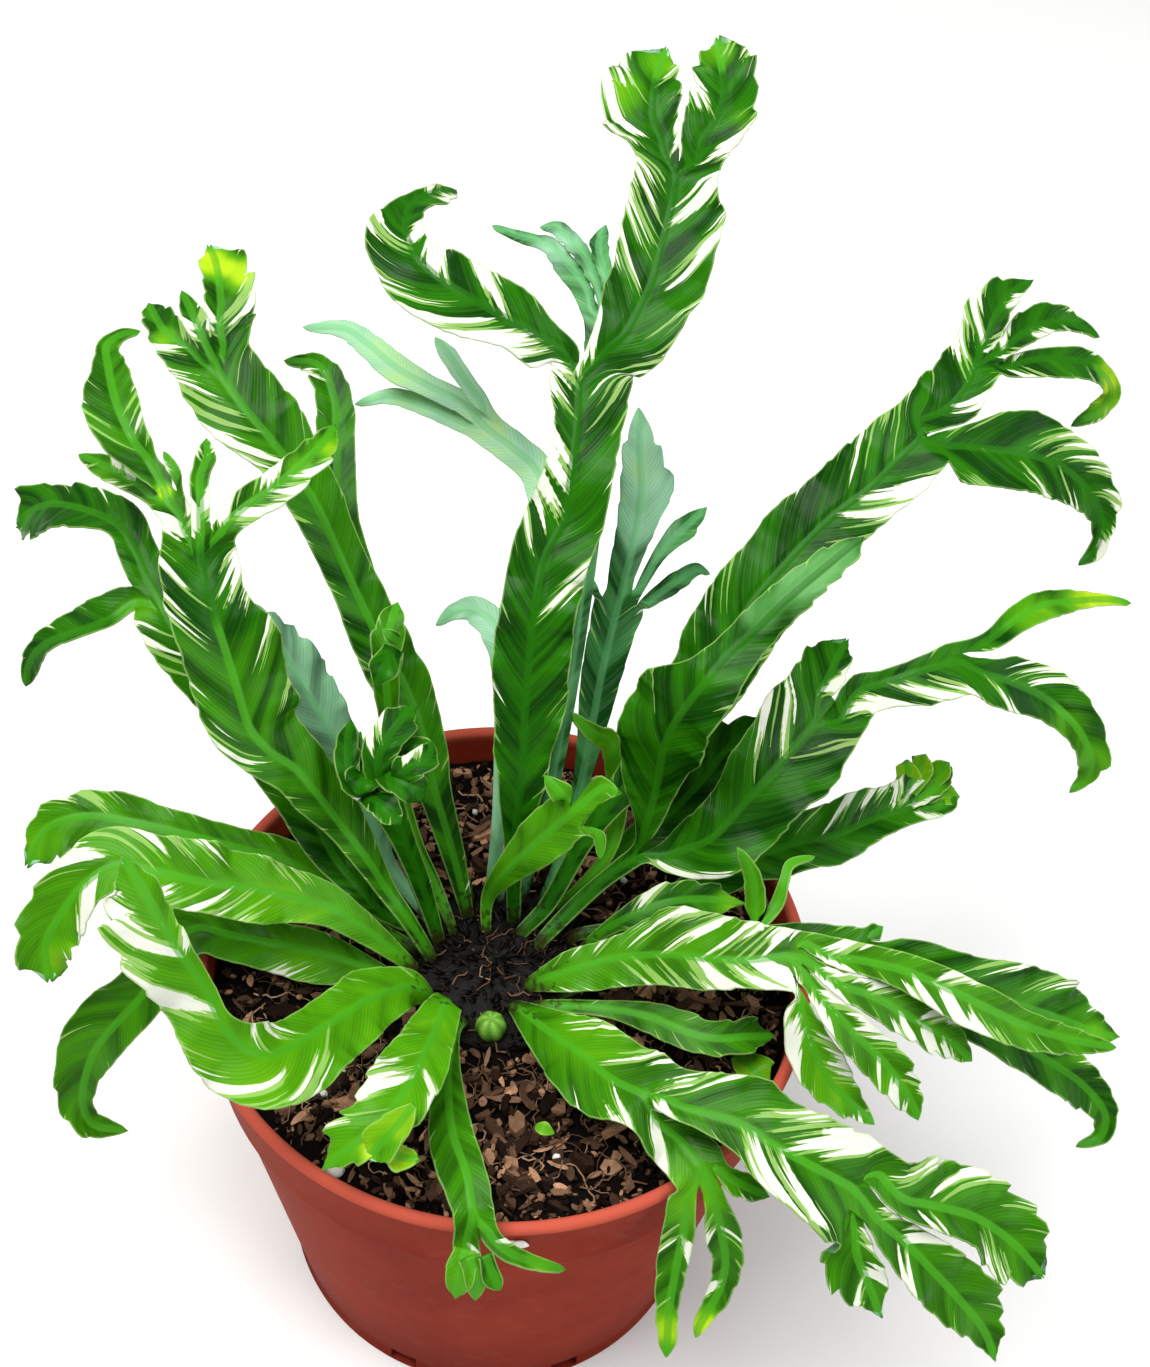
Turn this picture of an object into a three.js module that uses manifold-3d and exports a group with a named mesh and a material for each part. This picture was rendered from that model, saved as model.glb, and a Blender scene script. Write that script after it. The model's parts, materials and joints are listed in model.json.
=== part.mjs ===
// A variegated bird's nest fern with crested fronds, in a round plastic nursery pot.
// Millimetres, +Z up. The origin is the middle of the pot's foot, and -Y is the front.
// Each frond is a thin closed blade that follows a curve, forks, and ruffles along its margins.

import * as THREE from 'three';
import { mergeVertices } from 'three/addons/utils/BufferGeometryUtils.js';
import Module from 'manifold-3d';

const wasm = await Module();
wasm.setup();

// Pot
const rimRadius = 90;
const potHeight = 142;
const lipHeight = 3;
const collarHeight = 28;
const collarRadius = 86;
const baseRadius = 68;
const wallThickness = 1.8;
const footHeight = 4.5;
const floorTop = 6.5;
const padRadius = 14;
const potSides = 48;
const drainSlots = { count: 8, width: 9, inner: 55, outer: 72, top: 7.5 };

// Soil and crown
const gap = 0.35;
const holeGap = 0.6;
const soilHeight = 131;
const soilRoughness = 1.3;
const crown = { x: -2, y: 0, radius: 29, footRadius: 25, foot: 114, top: 139, sides: 24 };
const bud = { x: -3, y: -24, z: 137, radius: 4.4, stalkRadius: 1.5, stalkFoot: 127 };

// Fronds
const rowSpacing = 9;
const rootDepth = 12;
const rootLean = 0.12;
const frontTilt = 0.45;
const inwardTilt = 0.25;
const faceAimY = -4;
const cup = 0.08;
const ruffle = 0.16;
const lobing = 0.08;
const ribThickness = 1.3;
const marginThickness = 0.9;
const petioleThickness = 1.7;
const petioleFade = 45;
const smallestHalfWidth = 1;
const crotchGap = 1.5;
const crotchReach = 22;
const smallestReach = 0.4;
const endShare = 0.9;
const forkCalm = 0.2;

// Colours
const terracotta = { color: 0xa8412f, roughness: 0.6, metalness: 0 };
const darkSoil = { color: 0x2c1d16, roughness: 0.95, metalness: 0 };
const blackScales = { color: 0x17110d, roughness: 0.9, metalness: 0 };
const budGreen = { color: 0x5c8a2c, roughness: 0.5, metalness: 0 };
const topGreen = { color: 0x2f7d1f, roughness: 0.35, metalness: 0 };
const paleGreen = { color: 0x6fa886, roughness: 0.45, metalness: 0 };

// Each frond runs from the crown outwards. A point is x, y, z on the midrib, and then the blade's
// widths to the left and to the right of it. Where a blade forks, its arms carry on from its last
// point. A "pale" frond shows its underside to the front.
const fronds = [
  {
    name: 'frond_centre_tall',
    path: [
      [2, 13, 137, 2, 2], [1, 18, 166, 3, 3], [2, 24, 190, 7, 7], [2, 34, 212, 9.5, 11],
      [3, 46, 233, 10, 11.5], [5, 57, 244, 10, 11.5], [10, 65, 252, 11, 11], [11, 72, 261, 8, 11.5],
      [12, 82, 270, 6.5, 13.5], [12, 92, 278, 8.5, 14.5],
    ],
    forks: [
      {
        path: [
          [8, 97, 283, 5, 4], [2, 98, 287, 8, 6], [-7, 99, 292, 8.5, 9.5], [-18, 101, 297, 12, 9],
          [-28, 105, 301, 13.5, 8.5], [-34, 110, 304, 13, 5.5], [-38, 121, 305, 10, 5],
          [-37, 133, 306, 4, 4], [-31, 144, 304, 2.5, 4.5], [-26, 152, 300, 1, 2],
        ],
      },
      {
        path: [
          [18, 97, 284, 5, 12.5], [24, 100, 290, 10, 13], [28, 107, 295, 11.5, 13.5],
          [31, 114, 299, 12, 14.5], [33, 122, 305, 12, 14.5], [35, 130, 311, 12, 14.5],
          [36, 136, 317, 12, 11.5],
        ],
        forks: [
          {
            path: [
              [32, 144, 322, 9, 4.5], [29, 153, 326, 13, 7], [29, 160, 330, 13.5, 7.5],
              [30, 168, 333, 11, 5.5], [32, 175, 335, 4, 2.5],
            ],
          },
          {
            path: [
              [43, 148, 322, 6, 8.5], [47, 155, 326, 9, 10], [49, 163, 330, 8.5, 9.5],
              [48, 173, 334, 6, 9.5], [47, 180, 337, 2.5, 4.5],
            ],
          },
        ],
      },
    ],
  },
  {
    name: 'frond_pale_right',
    pale: true,
    path: [
      [10, 20, 137, 1.5, 1.5], [13, 24, 143, 2, 2], [16, 31, 151, 2, 2], [20, 43, 168, 2.5, 2.5],
      [22, 52, 179, 4, 4], [24, 62, 193, 6, 6], [26, 70, 202, 7, 7], [28, 77, 210, 8, 7.5],
    ],
    forks: [
      { path: [[19, 77, 217, 2, 2], [15, 80, 219, 1, 1]] },
      {
        path: [
          [30, 83, 219, 7.5, 5.5], [32, 91, 228, 10, 6], [33, 99, 236, 9.5, 6.5], [32, 107, 243, 6, 5],
          [31, 119, 251, 1, 1],
        ],
      },
      { path: [[39, 87, 221, 2, 2], [46, 93, 227, 3.5, 3.5], [53, 101, 229, 1, 1]] },
      { path: [[37, 81, 208, 2, 2], [45, 88, 210, 3, 3], [52, 95, 210, 2, 2], [56, 95, 208, 1, 1]] },
    ],
  },
  {
    name: 'frond_back_small',
    pale: true,
    path: [
      [4, 22, 137, 1.5, 1.5], [10, 30, 174, 2.5, 2.5], [15, 55, 212, 3, 3], [18, 91, 238, 4, 4],
      [20, 118, 254, 5.5, 5.5], [20, 140, 264, 6, 6],
    ],
    forks: [
      {
        path: [
          [14, 153, 269, 4.5, 4.5], [8, 163, 271, 4.5, 4.5], [2, 172, 272, 3, 3], [-7, 177, 271, 2, 2],
          [-16, 187, 268, 1, 1],
        ],
      },
      {
        path: [
          [15, 158, 273, 3, 3], [10, 167, 275, 3, 3], [4, 177, 275, 2.5, 2.5], [-1, 178, 274, 1, 1],
        ],
      },
      { path: [[19, 155, 274, 2.5, 2.5], [17, 165, 277, 3, 3], [19, 173, 279, 1, 1]] },
    ],
  },
  {
    name: 'frond_pale_back_left',
    pale: true,
    path: [
      [-3, 22, 137, 1.5, 1.5], [2, 24, 172, 2.5, 2.5], [6, 43, 203, 3, 3], [6, 61, 225, 4, 4],
      [6, 78, 239, 5, 5], [2, 92, 246, 5, 5], [-5, 97, 250, 5, 5], [-12, 102, 252, 5, 5],
    ],
    forks: [
      {
        path: [
          [-22, 109, 250, 3, 3], [-34, 119, 248, 3, 3], [-44, 126, 245, 2.5, 2.5],
          [-54, 126, 241, 1, 1],
        ],
      },
      {
        path: [
          [-21, 111, 255, 3.5, 3.5], [-32, 119, 255, 3.5, 3.5], [-41, 126, 255, 4.5, 4.5],
          [-51, 139, 254, 4, 4], [-60, 151, 251, 3, 3], [-73, 156, 247, 1, 1],
        ],
      },
      {
        path: [
          [-16, 108, 259, 2.5, 2.5], [-21, 113, 263, 2.5, 2.5], [-26, 121, 265, 2.5, 2.5],
          [-30, 127, 266, 1, 1],
        ],
      },
    ],
  },
  {
    name: 'frond_pale_tip',
    pale: true,
    path: [
      [-6, 18, 137, 1.5, 1.5], [-4, 23, 168, 2, 2], [-4, 39, 190, 2.5, 2.5], [-4, 50, 206, 4, 4],
      [-7, 60, 213, 5, 5], [-14, 66, 215, 4, 4], [-20, 66, 214, 2.5, 2.5], [-25, 65, 209, 1, 1],
    ],
  },
  {
    name: 'frond_tall_left',
    path: [
      [-12, 15, 137, 2, 2], [-17, 22, 157, 3.5, 3.5], [-23, 30, 176, 5, 5], [-27, 38, 190, 7.5, 6.5],
      [-33, 46, 203, 8.5, 7.5], [-40, 51, 214, 8, 8.5], [-51, 65, 229, 6.5, 7.5],
      [-60, 76, 243, 7.5, 8], [-70, 85, 253, 8.5, 11], [-81, 94, 261, 12.5, 12.5],
      [-88, 102, 265, 12.5, 11.5],
    ],
    forks: [
      { path: [[-97, 110, 267, 9, 5.5], [-107, 118, 269, 5, 6.5], [-114, 131, 269, 2.5, 3]] },
      { path: [[-94, 110, 271, 2.5, 2.5], [-98, 117, 275, 3.5, 3.5], [-103, 127, 277, 1, 1]] },
      {
        path: [
          [-90, 114, 270, 4, 9], [-92, 127, 275, 4.5, 10], [-95, 140, 278, 4.5, 9],
          [-98, 147, 279, 2.5, 3.5],
        ],
      },
    ],
  },
  {
    name: 'frond_narrow_left',
    path: [
      [-12, 22, 137, 1.5, 1.5], [-15, 27, 150, 1, 1], [-26, 38, 172, 2.5, 2.5],
      [-36, 51, 200, 4.5, 4.5], [-47, 67, 220, 5.5, 5.5], [-54, 82, 233, 5.5, 5.5],
      [-57, 101, 243, 5.5, 5.5], [-59, 116, 250, 5.5, 5.5], [-65, 127, 254, 4, 4],
      [-76, 135, 249, 1, 1],
    ],
  },
  {
    name: 'frond_big_left',
    path: [
      [-22, -1, 137, 2, 2], [-29, 0, 154, 2.5, 2.5], [-35, 3, 163, 3, 3], [-41, 5, 175, 4, 5],
      [-48, 8, 185, 5, 7.5], [-54, 9, 196, 7, 9], [-60, 11, 204, 8.5, 9.5], [-67, 11, 211, 8, 12],
      [-72, 14, 217, 10.5, 15], [-75, 19, 225, 11.5, 14], [-79, 26, 235, 11, 14],
      [-83, 33, 244, 11.5, 10.5], [-86, 41, 250, 11, 10],
    ],
    forks: [
      {
        path: [[-92, 51, 254, 5.5, 4], [-96, 56, 257, 5, 4.5]],
        forks: [
          { path: [[-106, 67, 253, 3.5, 3], [-117, 77, 251, 4, 4], [-128, 87, 247, 1, 1]] },
          {
            path: [
              [-103, 67, 262, 5.5, 4], [-108, 71, 267, 8, 4.5], [-114, 82, 271, 9, 6],
              [-118, 94, 273, 4.5, 5], [-120, 102, 274, 2.5, 3.5], [-117, 108, 274, 2, 2],
              [-113, 113, 272, 1, 1],
            ],
          },
          { path: [[-95, 62, 263, 1.5, 1.5], [-99, 68, 265, 1, 1]] },
        ],
      },
      {
        path: [
          [-87, 52, 261, 2.5, 2.5], [-88, 59, 264, 2.5, 2.5], [-87, 66, 266, 3, 2.5],
          [-88, 72, 267, 1, 1],
        ],
      },
      {
        path: [
          [-81, 47, 256, 4.5, 4], [-76, 52, 260, 5, 4.5], [-69, 57, 263, 4.5, 5.5],
          [-62, 64, 266, 4.5, 5], [-57, 71, 268, 3.5, 4.5], [-54, 79, 269, 1, 1],
        ],
      },
    ],
  },
  {
    name: 'frond_two_armed',
    path: [
      [-27, 8, 137, 2, 2], [-37, 5, 150, 2.5, 2.5], [-44, 6, 161, 4, 4], [-51, 12, 166, 6, 5.5],
      [-56, 16, 176, 8, 6.5], [-64, 23, 187, 8.5, 8], [-75, 31, 199, 9, 8.5], [-86, 39, 209, 9, 8.5],
      [-95, 46, 216, 9, 8], [-100, 52, 220, 9, 8],
    ],
    forks: [
      {
        path: [
          [-109, 56, 220, 2.5, 5.5], [-116, 52, 217, 2, 7.5], [-125, 53, 211, 2, 7],
          [-137, 56, 202, 2.5, 4.5], [-143, 56, 194, 3.5, 2.5], [-145, 54, 186, 1.5, 1.5],
        ],
      },
      {
        path: [
          [-106, 61, 224, 5, 6.5], [-111, 69, 228, 5, 6], [-117, 77, 230, 4, 7.5],
          [-127, 84, 229, 6, 7.5], [-139, 92, 224, 9.5, 6.5], [-148, 97, 217, 9, 7.5],
          [-153, 97, 211, 3.5, 2.5],
        ],
      },
    ],
  },
  {
    name: 'frond_pale_left',
    pale: true,
    path: [
      [-24, 13, 137, 1.5, 1.5], [-36, 21, 152, 2.5, 2.5], [-41, 25, 167, 4.5, 4.5],
      [-47, 28, 184, 7, 7], [-52, 30, 197, 8, 8], [-59, 35, 209, 8.5, 8.5], [-66, 40, 220, 7, 7],
      [-72, 44, 227, 3.5, 3.5], [-75, 48, 230, 1, 1],
    ],
  },
  {
    name: 'frond_young_crest',
    path: [[-20, 5, 137, 2, 2], [-25, 8, 158, 3, 3], [-30, 8, 178, 3.5, 3.5], [-35, 8, 196, 5, 5]],
    forks: [
      { path: [[-44, 7, 203, 3, 3], [-46, 16, 208, 3.5, 3.5], [-46, 26, 208, 1, 1]] },
      { path: [[-37, 11, 210, 5, 5], [-32, 19, 216, 4.5, 4.5], [-28, 25, 216, 1, 1]] },
      { path: [[-30, 7, 209, 4, 4], [-24, 11, 211, 3.5, 3.5], [-23, 17, 211, 1, 1]] },
    ],
  },
  {
    name: 'frond_young_narrow',
    path: [
      [-16, 9, 137, 1.5, 1.5], [-22, 16, 150, 2, 2], [-28, 20, 163, 2.5, 2.5], [-32, 24, 178, 2.5, 2.5],
      [-34, 28, 191, 2.5, 2.5], [-36, 31, 206, 3, 3], [-37, 35, 217, 4, 4], [-37, 41, 225, 4.5, 4.5],
      [-36, 46, 229, 3.5, 3.5], [-35, 51, 230, 1, 1],
    ],
  },
  {
    name: 'frond_young_centre',
    path: [
      [-6, 8, 137, 1.5, 1.5], [-6, 11, 151, 2, 2], [-1, 9, 166, 4, 4], [8, 8, 182, 7, 7],
      [16, 8, 194, 7, 7],
    ],
    forks: [
      { path: [[13, 10, 200, 3.5, 3.5], [8, 14, 203, 1, 1]] },
      { path: [[24, 11, 202, 3.5, 3.5], [29, 8, 204, 1, 1]] },
      { path: [[24, 4, 190, 2, 2], [25, 1, 184, 1, 1]] },
    ],
  },
  {
    name: 'frond_upper_right',
    path: [
      [3, 7, 137, 2, 2], [12, 14, 146, 2.5, 2.5], [21, 25, 161, 3, 3], [29, 32, 172, 4, 4],
      [39, 40, 183, 7.5, 7.5], [50, 50, 196, 11, 10.5], [59, 61, 209, 12.5, 12],
      [66, 70, 219, 13, 12.5], [74, 77, 227, 13.5, 12.5], [81, 83, 233, 13.5, 12],
      [89, 88, 240, 13, 12], [98, 93, 246, 13.5, 12], [106, 100, 251, 13, 11.5],
      [112, 105, 255, 13, 11],
    ],
    forks: [
      {
        path: [[120, 114, 260, 12, 8.5], [126, 120, 264, 11.5, 7], [129, 126, 267, 10.5, 7.5]],
        forks: [
          {
            path: [
              [132, 134, 270, 8.5, 4], [136, 142, 275, 9.5, 4], [141, 150, 278, 6, 3],
              [149, 158, 278, 1, 1],
            ],
          },
          {
            path: [
              [138, 132, 270, 3, 2.5], [146, 142, 270, 6, 4], [156, 150, 269, 6.5, 3.5],
              [166, 153, 266, 3, 2], [173, 154, 262, 1, 1],
            ],
          },
          {
            path: [
              [139, 129, 266, 3, 4], [151, 136, 265, 3.5, 6.5], [165, 142, 261, 4.5, 6],
              [175, 145, 254, 4, 3.5], [180, 148, 245, 3, 3], [176, 145, 240, 3, 3],
              [169, 143, 236, 1, 1],
            ],
          },
        ],
      },
      {
        path: [
          [122, 105, 254, 7.5, 11.5], [135, 106, 253, 11.5, 12.5], [146, 107, 251, 13.5, 12.5],
          [157, 109, 246, 12, 10], [167, 109, 238, 9, 7], [173, 109, 230, 6.5, 4],
          [175, 107, 223, 3.5, 2.5], [174, 105, 217, 3, 2], [170, 103, 213, 1, 1],
        ],
      },
    ],
  },
  {
    name: 'frond_right_forked',
    path: [[9, 4, 137, 2, 2], [19, 13, 145, 2.5, 2.5], [28, 19, 152, 2.5, 2.5], [37, 23, 159, 3, 3]],
    forks: [
      {
        path: [
          [39, 25, 170, 3.5, 3.5], [41, 28, 184, 10, 6], [42, 29, 203, 13.5, 11.5],
          [46, 29, 217, 15, 11], [51, 31, 226, 8, 9.5], [57, 37, 231, 5.5, 8], [64, 41, 237, 6, 6],
          [71, 45, 244, 6, 6], [79, 50, 250, 5, 5], [86, 54, 255, 3.5, 4], [91, 57, 258, 1, 1],
        ],
      },
      {
        path: [
          [45, 22, 161, 4, 5], [52, 22, 165, 8.5, 9.5], [59, 22, 171, 10, 13], [65, 26, 178, 10.5, 15],
          [72, 31, 186, 12, 15.5], [79, 37, 192, 14, 15.5], [86, 44, 197, 16.5, 13.5],
        ],
        forks: [
          { path: [[88, 54, 202, 10, 6], [93, 64, 205, 9, 4], [96, 70, 206, 3, 2]] },
          {
            path: [
              [98, 53, 201, 6, 8], [107, 57, 203, 4, 8], [116, 59, 206, 4, 10.5],
              [126, 62, 208, 5.5, 11.5],
            ],
            forks: [
              {
                path: [
                  [137, 69, 211, 2.5, 3.5], [147, 78, 212, 4, 4.5], [157, 86, 211, 4.5, 5],
                  [169, 92, 208, 3.5, 3], [181, 98, 204, 1.5, 2], [189, 100, 201, 1, 1],
                ],
              },
              {
                path: [
                  [138, 59, 206, 7, 9], [147, 59, 203, 8.5, 8.5], [157, 58, 198, 9, 6.5],
                  [167, 55, 190, 8, 4.5], [173, 53, 180, 5.5, 4], [174, 53, 171, 2.5, 2.5],
                  [170, 51, 166, 1, 1],
                ],
              },
            ],
          },
        ],
      },
    ],
  },
  {
    name: 'frond_curly_right',
    path: [
      [20, 9, 137, 2, 2], [35, 11, 141, 2.5, 2.5], [54, 21, 146, 5, 5], [71, 30, 151, 7, 8],
      [87, 35, 155, 8.5, 9.5], [98, 37, 157, 10, 9.5], [108, 42, 158, 10.5, 6.5],
      [117, 46, 159, 8.5, 6],
    ],
    forks: [
      { path: [[122, 54, 164, 3.5, 3.5], [125, 59, 167, 3, 3], [122, 60, 169, 1, 1]] },
      { path: [[129, 53, 162, 3, 3], [133, 58, 164, 2.5, 2.5], [135, 60, 165, 1, 1]] },
      { path: [[130, 48, 159, 3, 3], [135, 51, 158, 2, 2], [137, 54, 158, 1, 1]] },
    ],
  },
  {
    name: 'frond_striped_right',
    path: [
      [16, 14, 137, 2, 2], [27, 29, 145, 2.5, 2.5], [42, 36, 156, 5.5, 5.5], [54, 44, 166, 8.5, 8.5],
      [64, 55, 173, 8.5, 8.5], [75, 62, 181, 1, 1],
    ],
  },
  {
    name: 'frond_two_tips',
    path: [
      [24, -2, 137, 1.5, 1.5], [30, 0, 146, 1.5, 1.5], [44, -2, 152, 1.5, 1.5], [60, -5, 158, 2, 2],
      [69, -6, 163, 2.5, 2.5],
    ],
    forks: [
      { path: [[70, -1, 169, 3, 3], [68, 3, 178, 2.5, 2.5], [63, 5, 187, 1, 1]] },
      {
        path: [
          [76, 0, 168, 2, 2], [78, 5, 173, 1.5, 1.5], [80, 10, 175, 1.5, 1.5], [87, 13, 175, 1, 1],
        ],
      },
    ],
  },
  {
    name: 'frond_front_striped',
    path: [
      [7, -10, 137, 2, 2], [19, -10, 146, 6, 6.5], [32, -10, 153, 7, 8.5], [45, -13, 160, 12.5, 9],
      [56, -18, 166, 13, 9], [66, -21, 170, 11, 8.5], [77, -21, 173, 8, 10],
    ],
    forks: [
      {
        path: [
          [89, -21, 174, 5.5, 4.5], [97, -22, 174, 5, 5], [109, -24, 173, 5, 5.5],
          [121, -27, 170, 5.5, 7.5], [134, -30, 165, 5.5, 7.5], [146, -31, 159, 4.5, 6.5],
          [161, -29, 151, 3.5, 4], [175, -26, 144, 1, 1],
        ],
      },
      {
        path: [
          [91, -28, 171, 4.5, 4.5], [100, -29, 168, 5.5, 5.5], [110, -31, 163, 6, 6],
          [122, -32, 155, 5.5, 5.5], [129, -33, 149, 3, 3], [132, -34, 146, 1, 1],
        ],
      },
      {
        path: [
          [88, -33, 168, 4, 4], [97, -38, 161, 5.5, 5.5], [105, -41, 154, 6, 6], [111, -44, 147, 5, 5],
          [115, -46, 141, 3, 3], [117, -48, 137, 1, 1],
        ],
      },
      {
        path: [
          [81, -34, 166, 5, 5], [85, -39, 157, 7.5, 7.5], [91, -43, 147, 6.5, 6.5],
          [99, -46, 139, 3.5, 3.5], [105, -49, 135, 1, 1],
        ],
      },
    ],
  },
  {
    name: 'frond_far_right',
    path: [
      [17, -12, 137, 1.5, 1.5], [46, 3, 139, 3.5, 3.5], [69, 1, 146, 6, 6], [85, -1, 151, 7, 7],
      [101, -3, 153, 7, 6.5],
    ],
    forks: [
      { path: [[106, 1, 156, 3, 3], [109, 3, 157, 1, 1]] },
      {
        path: [
          [118, -6, 154, 6, 6], [128, -10, 152, 7.5, 6], [145, -13, 146, 11.5, 6],
          [161, -13, 139, 11.5, 5.5], [175, -12, 131, 6, 3.5], [184, -10, 126, 1, 1],
        ],
      },
      {
        path: [
          [121, -13, 148, 5.5, 5.5], [136, -17, 142, 6.5, 6.5], [149, -20, 136, 7, 7],
          [162, -22, 128, 7.5, 7.5], [173, -23, 119, 6.5, 6.5], [181, -26, 110, 4, 4],
          [181, -30, 103, 2.5, 2.5], [174, -32, 100, 1, 1],
        ],
      },
    ],
  },
  {
    name: 'frond_front_right_big',
    path: [
      [3, -17, 137, 2, 2], [13, -31, 146, 7.5, 7], [22, -41, 151, 11, 11.5], [30, -51, 155, 13, 12.5],
      [38, -57, 158, 12.5, 9.5],
    ],
    forks: [
      {
        path: [
          [46, -61, 161, 10.5, 4], [54, -65, 163, 11.5, 5], [64, -69, 164, 13, 7.5],
          [71, -74, 164, 13.5, 9.5], [82, -79, 162, 12.5, 13.5], [91, -82, 159, 14, 16],
        ],
        forks: [
          {
            path: [
              [104, -83, 157, 9, 4], [113, -83, 153, 13, 6.5], [126, -82, 146, 12.5, 7.5],
              [138, -84, 137, 10, 9.5], [147, -88, 128, 3.5, 3.5],
            ],
          },
          {
            path: [
              [99, -88, 153, 4, 7], [107, -91, 147, 7, 8.5], [115, -94, 139, 9.5, 8],
              [124, -97, 129, 11, 7], [132, -100, 119, 6, 4], [136, -104, 111, 1, 1],
            ],
          },
          {
            path: [
              [92, -89, 153, 3, 8.5], [94, -94, 146, 5, 9.5], [98, -98, 138, 5, 7],
              [102, -102, 130, 1, 1],
            ],
          },
        ],
      },
      {
        path: [[43, -63, 153, 5.5, 8], [49, -66, 150, 6.5, 9], [54, -72, 149, 7, 8.5]],
        forks: [
          { path: [[60, -74, 149, 2.5, 2.5], [66, -76, 146, 3.5, 3.5], [73, -76, 141, 1, 1]] },
          {
            path: [
              [58, -79, 143, 3.5, 2.5], [61, -83, 134, 5, 4.5], [63, -87, 125, 4.5, 3.5],
              [62, -91, 116, 3.5, 3], [58, -96, 108, 2, 2], [57, -98, 104, 1, 1],
            ],
          },
          {
            path: [
              [51, -79, 143, 2.5, 5], [51, -83, 134, 3, 5.5], [50, -88, 125, 3, 5.5],
              [49, -94, 115, 2.5, 4], [49, -100, 106, 2.5, 2.5], [49, -103, 102, 1, 1],
            ],
          },
        ],
      },
    ],
  },
  {
    name: 'frond_under_right',
    path: [
      [10, -17, 137, 2, 2], [29, -19, 141, 2.5, 2.5], [42, -24, 145, 4.5, 4.5], [50, -29, 147, 5.5, 5],
      [59, -32, 148, 5, 5], [68, -31, 148, 5.5, 4.5], [76, -29, 146, 2, 1.5],
    ],
  },
  {
    name: 'frond_front_short',
    path: [
      [-16, -20, 137, 2, 2], [-16, -23, 146, 4.5, 4.5], [-18, -37, 153, 6, 7.5],
      [-21, -53, 161, 8, 9.5], [-24, -64, 165, 8, 10], [-29, -73, 165, 8, 9.5],
      [-36, -78, 161, 4.5, 7.5], [-43, -81, 155, 1, 1],
    ],
  },
  {
    name: 'frond_front_narrow',
    path: [
      [-11, -23, 137, 1.5, 1.5], [-13, -30, 141, 1.5, 1.5], [-14, -44, 145, 3.5, 3.5],
      [-13, -57, 148, 5, 5], [-11, -68, 150, 5.5, 6.5], [-7, -79, 151, 5.5, 7], [-5, -88, 150, 5.5, 5],
    ],
    forks: [
      {
        path: [
          [0, -93, 146, 2.5, 2.5], [5, -95, 141, 2.5, 2.5], [12, -94, 134, 2, 2], [20, -92, 127, 1, 1],
        ],
      },
      { path: [[-6, -93, 142, 3.5, 3.5], [-6, -97, 136, 3.5, 3.5], [-6, -99, 127, 2, 2]] },
    ],
  },
  {
    name: 'frond_front_left_curl',
    path: [
      [-20, -17, 137, 2, 2], [-26, -19, 147, 5.5, 5.5], [-36, -31, 158, 9.5, 9],
      [-45, -44, 165, 12, 7.5], [-53, -55, 171, 13.5, 8], [-59, -62, 176, 14.5, 9],
      [-65, -63, 181, 14, 7], [-70, -61, 188, 12.5, 3], [-74, -57, 197, 11.5, 2.5],
      [-80, -54, 208, 14, 3.5], [-85, -50, 217, 13.5, 4], [-89, -46, 223, 8.5, 4],
      [-93, -42, 227, 1.5, 1],
    ],
  },
  {
    name: 'frond_long_left_back',
    path: [
      [-28, 2, 137, 2, 2], [-40, 6, 142, 2.5, 2.5], [-51, 11, 150, 4, 4], [-63, 14, 159, 6, 6],
      [-78, 13, 166, 6.5, 6], [-93, 13, 171, 6, 6], [-109, 15, 173, 7, 7.5], [-122, 17, 172, 9.5, 7],
      [-133, 15, 168, 9, 5.5], [-138, 9, 160, 3, 2.5],
    ],
  },
  {
    name: 'frond_long_left_front',
    path: [
      [-27, -5, 137, 2, 2], [-44, -4, 157, 5, 5], [-54, -4, 164, 6, 7.5], [-69, -7, 173, 10, 9],
      [-82, -11, 180, 9, 10.5], [-97, -11, 184, 7.5, 10.5], [-107, -10, 184, 6.5, 11],
      [-115, -14, 180, 6.5, 9.5], [-121, -19, 173, 7.5, 9], [-125, -24, 166, 7.5, 7.5],
      [-124, -29, 158, 4, 4.5],
    ],
  },
  {
    name: 'frond_low_left',
    path: [
      [-24, -13, 137, 2, 2], [-32, -9, 137, 2, 2], [-50, -6, 142, 8.5, 5.5], [-65, -5, 145, 8.5, 6.5],
      [-79, -6, 150, 7, 7], [-89, -5, 151, 7.5, 7.5], [-97, -12, 148, 7.5, 7.5],
      [-102, -18, 138, 7.5, 8.5], [-110, -23, 129, 7, 11], [-117, -26, 119, 6.5, 11],
      [-121, -30, 108, 4, 9], [-122, -33, 98, 3, 6], [-119, -35, 92, 3.5, 4], [-110, -34, 88, 1, 1],
    ],
  },
  {
    name: 'frond_dark_right',
    path: [
      [22, 3, 137, 1.5, 1.5], [31, 4, 150, 2.5, 2.5], [44, 7, 157, 5.5, 5.5], [56, 9, 158, 5.5, 5.5],
      [68, 9, 157, 1, 1],
    ],
  },
  {
    name: 'frond_leaf_tip',
    path: [
      [10, 13, 137, 1.5, 1.5], [28, 25, 154, 2, 2], [31, 39, 168, 3.5, 3.5], [28, 44, 184, 3.5, 3.5],
      [21, 40, 194, 2.5, 2.5], [15, 38, 203, 1, 1],
    ],
  },
];

// A repeatable value between -1 and 1 for a whole number and a seed.
function jitter(index, seed) {
  const wave = Math.sin(index * 12.9898 + seed * 78.233) * 43758.5453;
  return (wave - Math.floor(wave)) * 2 - 1;
}

function toManifold(geometry) {
  const bare = geometry.clone();
  bare.deleteAttribute('normal');
  bare.deleteAttribute('uv');
  const merged = mergeVertices(bare, 1e-5);
  return new wasm.Manifold(new wasm.Mesh({
    numProp: 3,
    vertProperties: new Float32Array(merged.attributes.position.array),
    triVerts: new Uint32Array(merged.index.array),
  }));
}

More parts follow.
